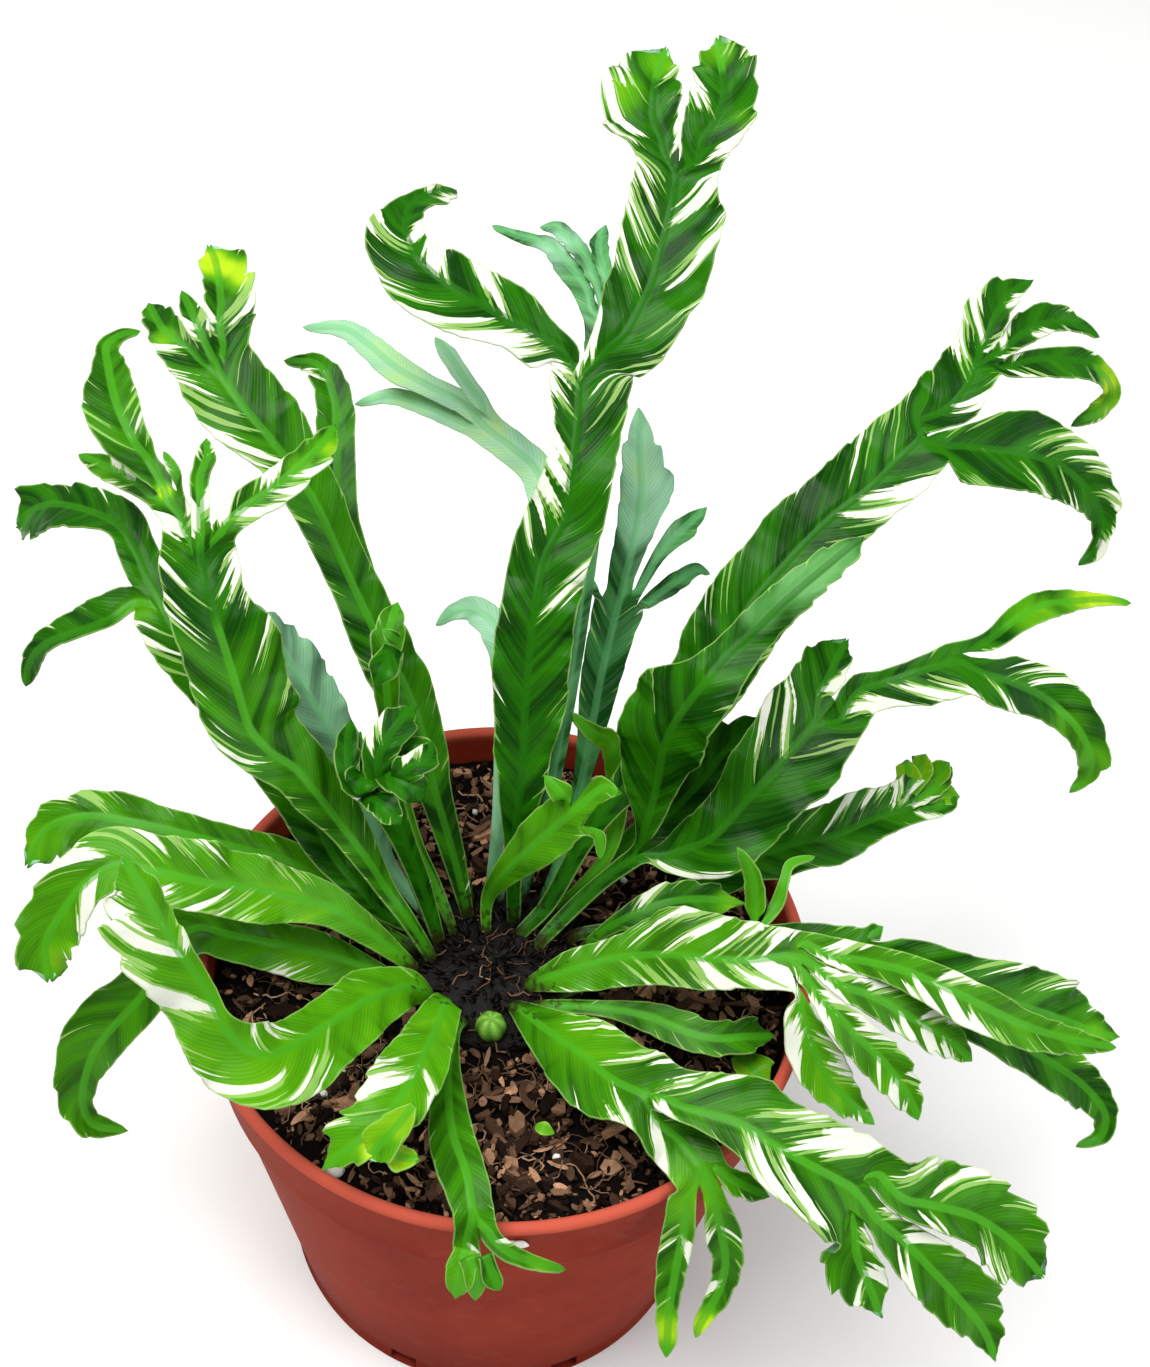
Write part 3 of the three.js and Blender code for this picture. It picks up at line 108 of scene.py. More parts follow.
# Every frond, with the same paths and widths as in the solids.
FRONDS = {
    "frond_centre_tall": arm(
        [
            (2, 13, 137, 2, 2), (1, 18, 166, 3, 3), (2, 24, 190, 7, 7), (2, 34, 212, 9.5, 11),
            (3, 46, 233, 10, 11.5), (5, 57, 244, 10, 11.5), (10, 65, 252, 11, 11),
            (11, 72, 261, 8, 11.5), (12, 82, 270, 6.5, 13.5), (12, 92, 278, 8.5, 14.5),
        ],
        arm(
            [
                (8, 97, 283, 5, 4), (2, 98, 287, 8, 6), (-7, 99, 292, 8.5, 9.5),
                (-18, 101, 297, 12, 9), (-28, 105, 301, 13.5, 8.5), (-34, 110, 304, 13, 5.5),
                (-38, 121, 305, 10, 5), (-37, 133, 306, 4, 4), (-31, 144, 304, 2.5, 4.5),
                (-26, 152, 300, 1, 2),
            ],
        ),
        arm(
            [
                (18, 97, 284, 5, 12.5), (24, 100, 290, 10, 13), (28, 107, 295, 11.5, 13.5),
                (31, 114, 299, 12, 14.5), (33, 122, 305, 12, 14.5), (35, 130, 311, 12, 14.5),
                (36, 136, 317, 12, 11.5),
            ],
            arm(
                [
                    (32, 144, 322, 9, 4.5), (29, 153, 326, 13, 7), (29, 160, 330, 13.5, 7.5),
                    (30, 168, 333, 11, 5.5), (32, 175, 335, 4, 2.5),
                ],
            ),
            arm(
                [
                    (43, 148, 322, 6, 8.5), (47, 155, 326, 9, 10), (49, 163, 330, 8.5, 9.5),
                    (48, 173, 334, 6, 9.5), (47, 180, 337, 2.5, 4.5),
                ],
            ),
        ),
    ),
    "frond_pale_right": arm(
        [
            (10, 20, 137, 1.5, 1.5), (13, 24, 143, 2, 2), (16, 31, 151, 2, 2),
            (20, 43, 168, 2.5, 2.5), (22, 52, 179, 4, 4), (24, 62, 193, 6, 6), (26, 70, 202, 7, 7),
            (28, 77, 210, 8, 7.5),
        ],
        arm([(19, 77, 217, 2, 2), (15, 80, 219, 1, 1)]),
        arm(
            [
                (30, 83, 219, 7.5, 5.5), (32, 91, 228, 10, 6), (33, 99, 236, 9.5, 6.5),
                (32, 107, 243, 6, 5), (31, 119, 251, 1, 1),
            ],
        ),
        arm([(39, 87, 221, 2, 2), (46, 93, 227, 3.5, 3.5), (53, 101, 229, 1, 1)]),
        arm([(37, 81, 208, 2, 2), (45, 88, 210, 3, 3), (52, 95, 210, 2, 2), (56, 95, 208, 1, 1)]),
    ),
    "frond_back_small": arm(
        [
            (4, 22, 137, 1.5, 1.5), (10, 30, 174, 2.5, 2.5), (15, 55, 212, 3, 3),
            (18, 91, 238, 4, 4), (20, 118, 254, 5.5, 5.5), (20, 140, 264, 6, 6),
        ],
        arm(
            [
                (14, 153, 269, 4.5, 4.5), (8, 163, 271, 4.5, 4.5), (2, 172, 272, 3, 3),
                (-7, 177, 271, 2, 2), (-16, 187, 268, 1, 1),
            ],
        ),
        arm(
            [
                (15, 158, 273, 3, 3), (10, 167, 275, 3, 3), (4, 177, 275, 2.5, 2.5),
                (-1, 178, 274, 1, 1),
            ],
        ),
        arm([(19, 155, 274, 2.5, 2.5), (17, 165, 277, 3, 3), (19, 173, 279, 1, 1)]),
    ),
    "frond_pale_back_left": arm(
        [
            (-3, 22, 137, 1.5, 1.5), (2, 24, 172, 2.5, 2.5), (6, 43, 203, 3, 3),
            (6, 61, 225, 4, 4), (6, 78, 239, 5, 5), (2, 92, 246, 5, 5), (-5, 97, 250, 5, 5),
            (-12, 102, 252, 5, 5),
        ],
        arm(
            [
                (-22, 109, 250, 3, 3), (-34, 119, 248, 3, 3), (-44, 126, 245, 2.5, 2.5),
                (-54, 126, 241, 1, 1),
            ],
        ),
        arm(
            [
                (-21, 111, 255, 3.5, 3.5), (-32, 119, 255, 3.5, 3.5), (-41, 126, 255, 4.5, 4.5),
                (-51, 139, 254, 4, 4), (-60, 151, 251, 3, 3), (-73, 156, 247, 1, 1),
            ],
        ),
        arm(
            [
                (-16, 108, 259, 2.5, 2.5), (-21, 113, 263, 2.5, 2.5), (-26, 121, 265, 2.5, 2.5),
                (-30, 127, 266, 1, 1),
            ],
        ),
    ),
    "frond_pale_tip": arm(
        [
            (-6, 18, 137, 1.5, 1.5), (-4, 23, 168, 2, 2), (-4, 39, 190, 2.5, 2.5),
            (-4, 50, 206, 4, 4), (-7, 60, 213, 5, 5), (-14, 66, 215, 4, 4),
            (-20, 66, 214, 2.5, 2.5), (-25, 65, 209, 1, 1),
        ],
    ),
    "frond_tall_left": arm(
        [
            (-12, 15, 137, 2, 2), (-17, 22, 157, 3.5, 3.5), (-23, 30, 176, 5, 5),
            (-27, 38, 190, 7.5, 6.5), (-33, 46, 203, 8.5, 7.5), (-40, 51, 214, 8, 8.5),
            (-51, 65, 229, 6.5, 7.5), (-60, 76, 243, 7.5, 8), (-70, 85, 253, 8.5, 11),
            (-81, 94, 261, 12.5, 12.5), (-88, 102, 265, 12.5, 11.5),
        ],
        arm([(-97, 110, 267, 9, 5.5), (-107, 118, 269, 5, 6.5), (-114, 131, 269, 2.5, 3)]),
        arm([(-94, 110, 271, 2.5, 2.5), (-98, 117, 275, 3.5, 3.5), (-103, 127, 277, 1, 1)]),
        arm(
            [
                (-90, 114, 270, 4, 9), (-92, 127, 275, 4.5, 10), (-95, 140, 278, 4.5, 9),
                (-98, 147, 279, 2.5, 3.5),
            ],
        ),
    ),
    "frond_narrow_left": arm(
        [
            (-12, 22, 137, 1.5, 1.5), (-15, 27, 150, 1, 1), (-26, 38, 172, 2.5, 2.5),
            (-36, 51, 200, 4.5, 4.5), (-47, 67, 220, 5.5, 5.5), (-54, 82, 233, 5.5, 5.5),
            (-57, 101, 243, 5.5, 5.5), (-59, 116, 250, 5.5, 5.5), (-65, 127, 254, 4, 4),
            (-76, 135, 249, 1, 1),
        ],
    ),
    "frond_big_left": arm(
        [
            (-22, -1, 137, 2, 2), (-29, 0, 154, 2.5, 2.5), (-35, 3, 163, 3, 3),
            (-41, 5, 175, 4, 5), (-48, 8, 185, 5, 7.5), (-54, 9, 196, 7, 9),
            (-60, 11, 204, 8.5, 9.5), (-67, 11, 211, 8, 12), (-72, 14, 217, 10.5, 15),
            (-75, 19, 225, 11.5, 14), (-79, 26, 235, 11, 14), (-83, 33, 244, 11.5, 10.5),
            (-86, 41, 250, 11, 10),
        ],
        arm(
            [(-92, 51, 254, 5.5, 4), (-96, 56, 257, 5, 4.5)],
            arm([(-106, 67, 253, 3.5, 3), (-117, 77, 251, 4, 4), (-128, 87, 247, 1, 1)]),
            arm(
                [
                    (-103, 67, 262, 5.5, 4), (-108, 71, 267, 8, 4.5), (-114, 82, 271, 9, 6),
                    (-118, 94, 273, 4.5, 5), (-120, 102, 274, 2.5, 3.5), (-117, 108, 274, 2, 2),
                    (-113, 113, 272, 1, 1),
                ],
            ),
            arm([(-95, 62, 263, 1.5, 1.5), (-99, 68, 265, 1, 1)]),
        ),
        arm(
            [
                (-87, 52, 261, 2.5, 2.5), (-88, 59, 264, 2.5, 2.5), (-87, 66, 266, 3, 2.5),
                (-88, 72, 267, 1, 1),
            ],
        ),
        arm(
            [
                (-81, 47, 256, 4.5, 4), (-76, 52, 260, 5, 4.5), (-69, 57, 263, 4.5, 5.5),
                (-62, 64, 266, 4.5, 5), (-57, 71, 268, 3.5, 4.5), (-54, 79, 269, 1, 1),
            ],
        ),
    ),
    "frond_two_armed": arm(
        [
            (-27, 8, 137, 2, 2), (-37, 5, 150, 2.5, 2.5), (-44, 6, 161, 4, 4),
            (-51, 12, 166, 6, 5.5), (-56, 16, 176, 8, 6.5), (-64, 23, 187, 8.5, 8),
            (-75, 31, 199, 9, 8.5), (-86, 39, 209, 9, 8.5), (-95, 46, 216, 9, 8),
            (-100, 52, 220, 9, 8),
        ],
        arm(
            [
                (-109, 56, 220, 2.5, 5.5), (-116, 52, 217, 2, 7.5), (-125, 53, 211, 2, 7),
                (-137, 56, 202, 2.5, 4.5), (-143, 56, 194, 3.5, 2.5), (-145, 54, 186, 1.5, 1.5),
            ],
        ),
        arm(
            [
                (-106, 61, 224, 5, 6.5), (-111, 69, 228, 5, 6), (-117, 77, 230, 4, 7.5),
                (-127, 84, 229, 6, 7.5), (-139, 92, 224, 9.5, 6.5), (-148, 97, 217, 9, 7.5),
                (-153, 97, 211, 3.5, 2.5),
            ],
        ),
    ),
    "frond_pale_left": arm(
        [
            (-24, 13, 137, 1.5, 1.5), (-36, 21, 152, 2.5, 2.5), (-41, 25, 167, 4.5, 4.5),
            (-47, 28, 184, 7, 7), (-52, 30, 197, 8, 8), (-59, 35, 209, 8.5, 8.5),
            (-66, 40, 220, 7, 7), (-72, 44, 227, 3.5, 3.5), (-75, 48, 230, 1, 1),
        ],
    ),
    "frond_young_crest": arm(
        [(-20, 5, 137, 2, 2), (-25, 8, 158, 3, 3), (-30, 8, 178, 3.5, 3.5), (-35, 8, 196, 5, 5)],
        arm([(-44, 7, 203, 3, 3), (-46, 16, 208, 3.5, 3.5), (-46, 26, 208, 1, 1)]),
        arm([(-37, 11, 210, 5, 5), (-32, 19, 216, 4.5, 4.5), (-28, 25, 216, 1, 1)]),
        arm([(-30, 7, 209, 4, 4), (-24, 11, 211, 3.5, 3.5), (-23, 17, 211, 1, 1)]),
    ),
    "frond_young_narrow": arm(
        [
            (-16, 9, 137, 1.5, 1.5), (-22, 16, 150, 2, 2), (-28, 20, 163, 2.5, 2.5),
            (-32, 24, 178, 2.5, 2.5), (-34, 28, 191, 2.5, 2.5), (-36, 31, 206, 3, 3),
            (-37, 35, 217, 4, 4), (-37, 41, 225, 4.5, 4.5), (-36, 46, 229, 3.5, 3.5),
            (-35, 51, 230, 1, 1),
        ],
    ),
    "frond_young_centre": arm(
        [
            (-6, 8, 137, 1.5, 1.5), (-6, 11, 151, 2, 2), (-1, 9, 166, 4, 4), (8, 8, 182, 7, 7),
            (16, 8, 194, 7, 7),
        ],
        arm([(13, 10, 200, 3.5, 3.5), (8, 14, 203, 1, 1)]),
        arm([(24, 11, 202, 3.5, 3.5), (29, 8, 204, 1, 1)]),
        arm([(24, 4, 190, 2, 2), (25, 1, 184, 1, 1)]),
    ),
    "frond_upper_right": arm(
        [
            (3, 7, 137, 2, 2), (12, 14, 146, 2.5, 2.5), (21, 25, 161, 3, 3), (29, 32, 172, 4, 4),
            (39, 40, 183, 7.5, 7.5), (50, 50, 196, 11, 10.5), (59, 61, 209, 12.5, 12),
            (66, 70, 219, 13, 12.5), (74, 77, 227, 13.5, 12.5), (81, 83, 233, 13.5, 12),
            (89, 88, 240, 13, 12), (98, 93, 246, 13.5, 12), (106, 100, 251, 13, 11.5),
            (112, 105, 255, 13, 11),
        ],
        arm(
            [(120, 114, 260, 12, 8.5), (126, 120, 264, 11.5, 7), (129, 126, 267, 10.5, 7.5)],
            arm(
                [
                    (132, 134, 270, 8.5, 4), (136, 142, 275, 9.5, 4), (141, 150, 278, 6, 3),
                    (149, 158, 278, 1, 1),
                ],
            ),
            arm(
                [
                    (138, 132, 270, 3, 2.5), (146, 142, 270, 6, 4), (156, 150, 269, 6.5, 3.5),
                    (166, 153, 266, 3, 2), (173, 154, 262, 1, 1),
                ],
            ),
            arm(
                [
                    (139, 129, 266, 3, 4), (151, 136, 265, 3.5, 6.5), (165, 142, 261, 4.5, 6),
                    (175, 145, 254, 4, 3.5), (180, 148, 245, 3, 3), (176, 145, 240, 3, 3),
                    (169, 143, 236, 1, 1),
                ],
            ),
        ),
        arm(
            [
                (122, 105, 254, 7.5, 11.5), (135, 106, 253, 11.5, 12.5),
                (146, 107, 251, 13.5, 12.5), (157, 109, 246, 12, 10), (167, 109, 238, 9, 7),
                (173, 109, 230, 6.5, 4), (175, 107, 223, 3.5, 2.5), (174, 105, 217, 3, 2),
                (170, 103, 213, 1, 1),
            ],
        ),
    ),
    "frond_right_forked": arm(
        [(9, 4, 137, 2, 2), (19, 13, 145, 2.5, 2.5), (28, 19, 152, 2.5, 2.5), (37, 23, 159, 3, 3)],
        arm(
            [
                (39, 25, 170, 3.5, 3.5), (41, 28, 184, 10, 6), (42, 29, 203, 13.5, 11.5),
                (46, 29, 217, 15, 11), (51, 31, 226, 8, 9.5), (57, 37, 231, 5.5, 8),
                (64, 41, 237, 6, 6), (71, 45, 244, 6, 6), (79, 50, 250, 5, 5),
                (86, 54, 255, 3.5, 4), (91, 57, 258, 1, 1),
            ],
        ),
        arm(
            [
                (45, 22, 161, 4, 5), (52, 22, 165, 8.5, 9.5), (59, 22, 171, 10, 13),
                (65, 26, 178, 10.5, 15), (72, 31, 186, 12, 15.5), (79, 37, 192, 14, 15.5),
                (86, 44, 197, 16.5, 13.5),
            ],
            arm([(88, 54, 202, 10, 6), (93, 64, 205, 9, 4), (96, 70, 206, 3, 2)]),
            arm(
                [
                    (98, 53, 201, 6, 8), (107, 57, 203, 4, 8), (116, 59, 206, 4, 10.5),
                    (126, 62, 208, 5.5, 11.5),
                ],
                arm(
                    [
                        (137, 69, 211, 2.5, 3.5), (147, 78, 212, 4, 4.5), (157, 86, 211, 4.5, 5),
                        (169, 92, 208, 3.5, 3), (181, 98, 204, 1.5, 2), (189, 100, 201, 1, 1),
                    ],
                ),
                arm(
                    [
                        (138, 59, 206, 7, 9), (147, 59, 203, 8.5, 8.5), (157, 58, 198, 9, 6.5),
                        (167, 55, 190, 8, 4.5), (173, 53, 180, 5.5, 4), (174, 53, 171, 2.5, 2.5),
                        (170, 51, 166, 1, 1),
                    ],
                ),
            ),
        ),
    ),
    "frond_curly_right": arm(
        [
            (20, 9, 137, 2, 2), (35, 11, 141, 2.5, 2.5), (54, 21, 146, 5, 5), (71, 30, 151, 7, 8),
            (87, 35, 155, 8.5, 9.5), (98, 37, 157, 10, 9.5), (108, 42, 158, 10.5, 6.5),
            (117, 46, 159, 8.5, 6),
        ],
        arm([(122, 54, 164, 3.5, 3.5), (125, 59, 167, 3, 3), (122, 60, 169, 1, 1)]),
        arm([(129, 53, 162, 3, 3), (133, 58, 164, 2.5, 2.5), (135, 60, 165, 1, 1)]),
        arm([(130, 48, 159, 3, 3), (135, 51, 158, 2, 2), (137, 54, 158, 1, 1)]),
    ),
    "frond_striped_right": arm(
        [
            (16, 14, 137, 2, 2), (27, 29, 145, 2.5, 2.5), (42, 36, 156, 5.5, 5.5),
            (54, 44, 166, 8.5, 8.5), (64, 55, 173, 8.5, 8.5), (75, 62, 181, 1, 1),
        ],
    ),
    "frond_two_tips": arm(
        [
            (24, -2, 137, 1.5, 1.5), (30, 0, 146, 1.5, 1.5), (44, -2, 152, 1.5, 1.5),
            (60, -5, 158, 2, 2), (69, -6, 163, 2.5, 2.5),
        ],
        arm([(70, -1, 169, 3, 3), (68, 3, 178, 2.5, 2.5), (63, 5, 187, 1, 1)]),
        arm(
            [(76, 0, 168, 2, 2), (78, 5, 173, 1.5, 1.5), (80, 10, 175, 1.5, 1.5), (87, 13, 175, 1, 1)],
        ),
    ),
    "frond_front_striped": arm(
        [
            (7, -10, 137, 2, 2), (19, -10, 146, 6, 6.5), (32, -10, 153, 7, 8.5),
            (45, -13, 160, 12.5, 9), (56, -18, 166, 13, 9), (66, -21, 170, 11, 8.5),
            (77, -21, 173, 8, 10),
        ],
        arm(
            [
                (89, -21, 174, 5.5, 4.5), (97, -22, 174, 5, 5), (109, -24, 173, 5, 5.5),
                (121, -27, 170, 5.5, 7.5), (134, -30, 165, 5.5, 7.5), (146, -31, 159, 4.5, 6.5),
                (161, -29, 151, 3.5, 4), (175, -26, 144, 1, 1),
            ],
        ),
        arm(
            [
                (91, -28, 171, 4.5, 4.5), (100, -29, 168, 5.5, 5.5), (110, -31, 163, 6, 6),
                (122, -32, 155, 5.5, 5.5), (129, -33, 149, 3, 3), (132, -34, 146, 1, 1),
            ],
        ),
        arm(
            [
                (88, -33, 168, 4, 4), (97, -38, 161, 5.5, 5.5), (105, -41, 154, 6, 6),
                (111, -44, 147, 5, 5), (115, -46, 141, 3, 3), (117, -48, 137, 1, 1),
            ],
        ),
        arm(
            [
                (81, -34, 166, 5, 5), (85, -39, 157, 7.5, 7.5), (91, -43, 147, 6.5, 6.5),
                (99, -46, 139, 3.5, 3.5), (105, -49, 135, 1, 1),
            ],
        ),
    ),
    "frond_far_right": arm(
        [
            (17, -12, 137, 1.5, 1.5), (46, 3, 139, 3.5, 3.5), (69, 1, 146, 6, 6),
            (85, -1, 151, 7, 7), (101, -3, 153, 7, 6.5),
        ],
        arm([(106, 1, 156, 3, 3), (109, 3, 157, 1, 1)]),
        arm(
            [
                (118, -6, 154, 6, 6), (128, -10, 152, 7.5, 6), (145, -13, 146, 11.5, 6),
                (161, -13, 139, 11.5, 5.5), (175, -12, 131, 6, 3.5), (184, -10, 126, 1, 1),
            ],
        ),
        arm(
            [
                (121, -13, 148, 5.5, 5.5), (136, -17, 142, 6.5, 6.5), (149, -20, 136, 7, 7),
                (162, -22, 128, 7.5, 7.5), (173, -23, 119, 6.5, 6.5), (181, -26, 110, 4, 4),
                (181, -30, 103, 2.5, 2.5), (174, -32, 100, 1, 1),
            ],
        ),
    ),
    "frond_front_right_big": arm(
        [
            (3, -17, 137, 2, 2), (13, -31, 146, 7.5, 7), (22, -41, 151, 11, 11.5),
            (30, -51, 155, 13, 12.5), (38, -57, 158, 12.5, 9.5),
        ],
        arm(
            [
                (46, -61, 161, 10.5, 4), (54, -65, 163, 11.5, 5), (64, -69, 164, 13, 7.5),
                (71, -74, 164, 13.5, 9.5), (82, -79, 162, 12.5, 13.5), (91, -82, 159, 14, 16),
            ],
            arm(
                [
                    (104, -83, 157, 9, 4), (113, -83, 153, 13, 6.5), (126, -82, 146, 12.5, 7.5),
                    (138, -84, 137, 10, 9.5), (147, -88, 128, 3.5, 3.5),
                ],
            ),
            arm(
                [
                    (99, -88, 153, 4, 7), (107, -91, 147, 7, 8.5), (115, -94, 139, 9.5, 8),
                    (124, -97, 129, 11, 7), (132, -100, 119, 6, 4), (136, -104, 111, 1, 1),
                ],
            ),
            arm(
                [
                    (92, -89, 153, 3, 8.5), (94, -94, 146, 5, 9.5), (98, -98, 138, 5, 7),
                    (102, -102, 130, 1, 1),
                ],
            ),
        ),
        arm(
            [(43, -63, 153, 5.5, 8), (49, -66, 150, 6.5, 9), (54, -72, 149, 7, 8.5)],
            arm([(60, -74, 149, 2.5, 2.5), (66, -76, 146, 3.5, 3.5), (73, -76, 141, 1, 1)]),
            arm(
                [
                    (58, -79, 143, 3.5, 2.5), (61, -83, 134, 5, 4.5), (63, -87, 125, 4.5, 3.5),
                    (62, -91, 116, 3.5, 3), (58, -96, 108, 2, 2), (57, -98, 104, 1, 1),
                ],
            ),
            arm(
                [
                    (51, -79, 143, 2.5, 5), (51, -83, 134, 3, 5.5), (50, -88, 125, 3, 5.5),
                    (49, -94, 115, 2.5, 4), (49, -100, 106, 2.5, 2.5), (49, -103, 102, 1, 1),
                ],
            ),
        ),
    ),
    "frond_under_right": arm(
        [
            (10, -17, 137, 2, 2), (29, -19, 141, 2.5, 2.5), (42, -24, 145, 4.5, 4.5),
            (50, -29, 147, 5.5, 5), (59, -32, 148, 5, 5), (68, -31, 148, 5.5, 4.5),
            (76, -29, 146, 2, 1.5),
        ],
    ),
    "frond_front_short": arm(
        [
            (-16, -20, 137, 2, 2), (-16, -23, 146, 4.5, 4.5), (-18, -37, 153, 6, 7.5),
            (-21, -53, 161, 8, 9.5), (-24, -64, 165, 8, 10), (-29, -73, 165, 8, 9.5),
            (-36, -78, 161, 4.5, 7.5), (-43, -81, 155, 1, 1),
        ],
    ),
    "frond_front_narrow": arm(
        [
            (-11, -23, 137, 1.5, 1.5), (-13, -30, 141, 1.5, 1.5), (-14, -44, 145, 3.5, 3.5),
            (-13, -57, 148, 5, 5), (-11, -68, 150, 5.5, 6.5), (-7, -79, 151, 5.5, 7),
            (-5, -88, 150, 5.5, 5),
        ],
        arm(
            [
                (0, -93, 146, 2.5, 2.5), (5, -95, 141, 2.5, 2.5), (12, -94, 134, 2, 2),
                (20, -92, 127, 1, 1),
            ],
        ),
        arm([(-6, -93, 142, 3.5, 3.5), (-6, -97, 136, 3.5, 3.5), (-6, -99, 127, 2, 2)]),
    ),
    "frond_front_left_curl": arm(
        [
            (-20, -17, 137, 2, 2), (-26, -19, 147, 5.5, 5.5), (-36, -31, 158, 9.5, 9),
            (-45, -44, 165, 12, 7.5), (-53, -55, 171, 13.5, 8), (-59, -62, 176, 14.5, 9),
            (-65, -63, 181, 14, 7), (-70, -61, 188, 12.5, 3), (-74, -57, 197, 11.5, 2.5),
            (-80, -54, 208, 14, 3.5), (-85, -50, 217, 13.5, 4), (-89, -46, 223, 8.5, 4),
            (-93, -42, 227, 1.5, 1),
        ],
    ),
    "frond_long_left_back": arm(
        [
            (-28, 2, 137, 2, 2), (-40, 6, 142, 2.5, 2.5), (-51, 11, 150, 4, 4),
            (-63, 14, 159, 6, 6), (-78, 13, 166, 6.5, 6), (-93, 13, 171, 6, 6),
            (-109, 15, 173, 7, 7.5), (-122, 17, 172, 9.5, 7), (-133, 15, 168, 9, 5.5),
            (-138, 9, 160, 3, 2.5),
        ],
    ),
    "frond_long_left_front": arm(
        [
            (-27, -5, 137, 2, 2), (-44, -4, 157, 5, 5), (-54, -4, 164, 6, 7.5),
            (-69, -7, 173, 10, 9), (-82, -11, 180, 9, 10.5), (-97, -11, 184, 7.5, 10.5),
            (-107, -10, 184, 6.5, 11), (-115, -14, 180, 6.5, 9.5), (-121, -19, 173, 7.5, 9),
            (-125, -24, 166, 7.5, 7.5), (-124, -29, 158, 4, 4.5),
        ],
    ),
    "frond_low_left": arm(
        [
            (-24, -13, 137, 2, 2), (-32, -9, 137, 2, 2), (-50, -6, 142, 8.5, 5.5),
            (-65, -5, 145, 8.5, 6.5), (-79, -6, 150, 7, 7), (-89, -5, 151, 7.5, 7.5),
            (-97, -12, 148, 7.5, 7.5), (-102, -18, 138, 7.5, 8.5), (-110, -23, 129, 7, 11),
            (-117, -26, 119, 6.5, 11), (-121, -30, 108, 4, 9), (-122, -33, 98, 3, 6),
            (-119, -35, 92, 3.5, 4), (-110, -34, 88, 1, 1),
        ],
    ),
    "frond_dark_right": arm(
        [
            (22, 3, 137, 1.5, 1.5), (31, 4, 150, 2.5, 2.5), (44, 7, 157, 5.5, 5.5),
            (56, 9, 158, 5.5, 5.5), (68, 9, 157, 1, 1),
        ],
    ),
    "frond_leaf_tip": arm(
        [
            (10, 13, 137, 1.5, 1.5), (28, 25, 154, 2, 2), (31, 39, 168, 3.5, 3.5),
            (28, 44, 184, 3.5, 3.5), (21, 40, 194, 2.5, 2.5), (15, 38, 203, 1, 1),
        ],
    ),
}


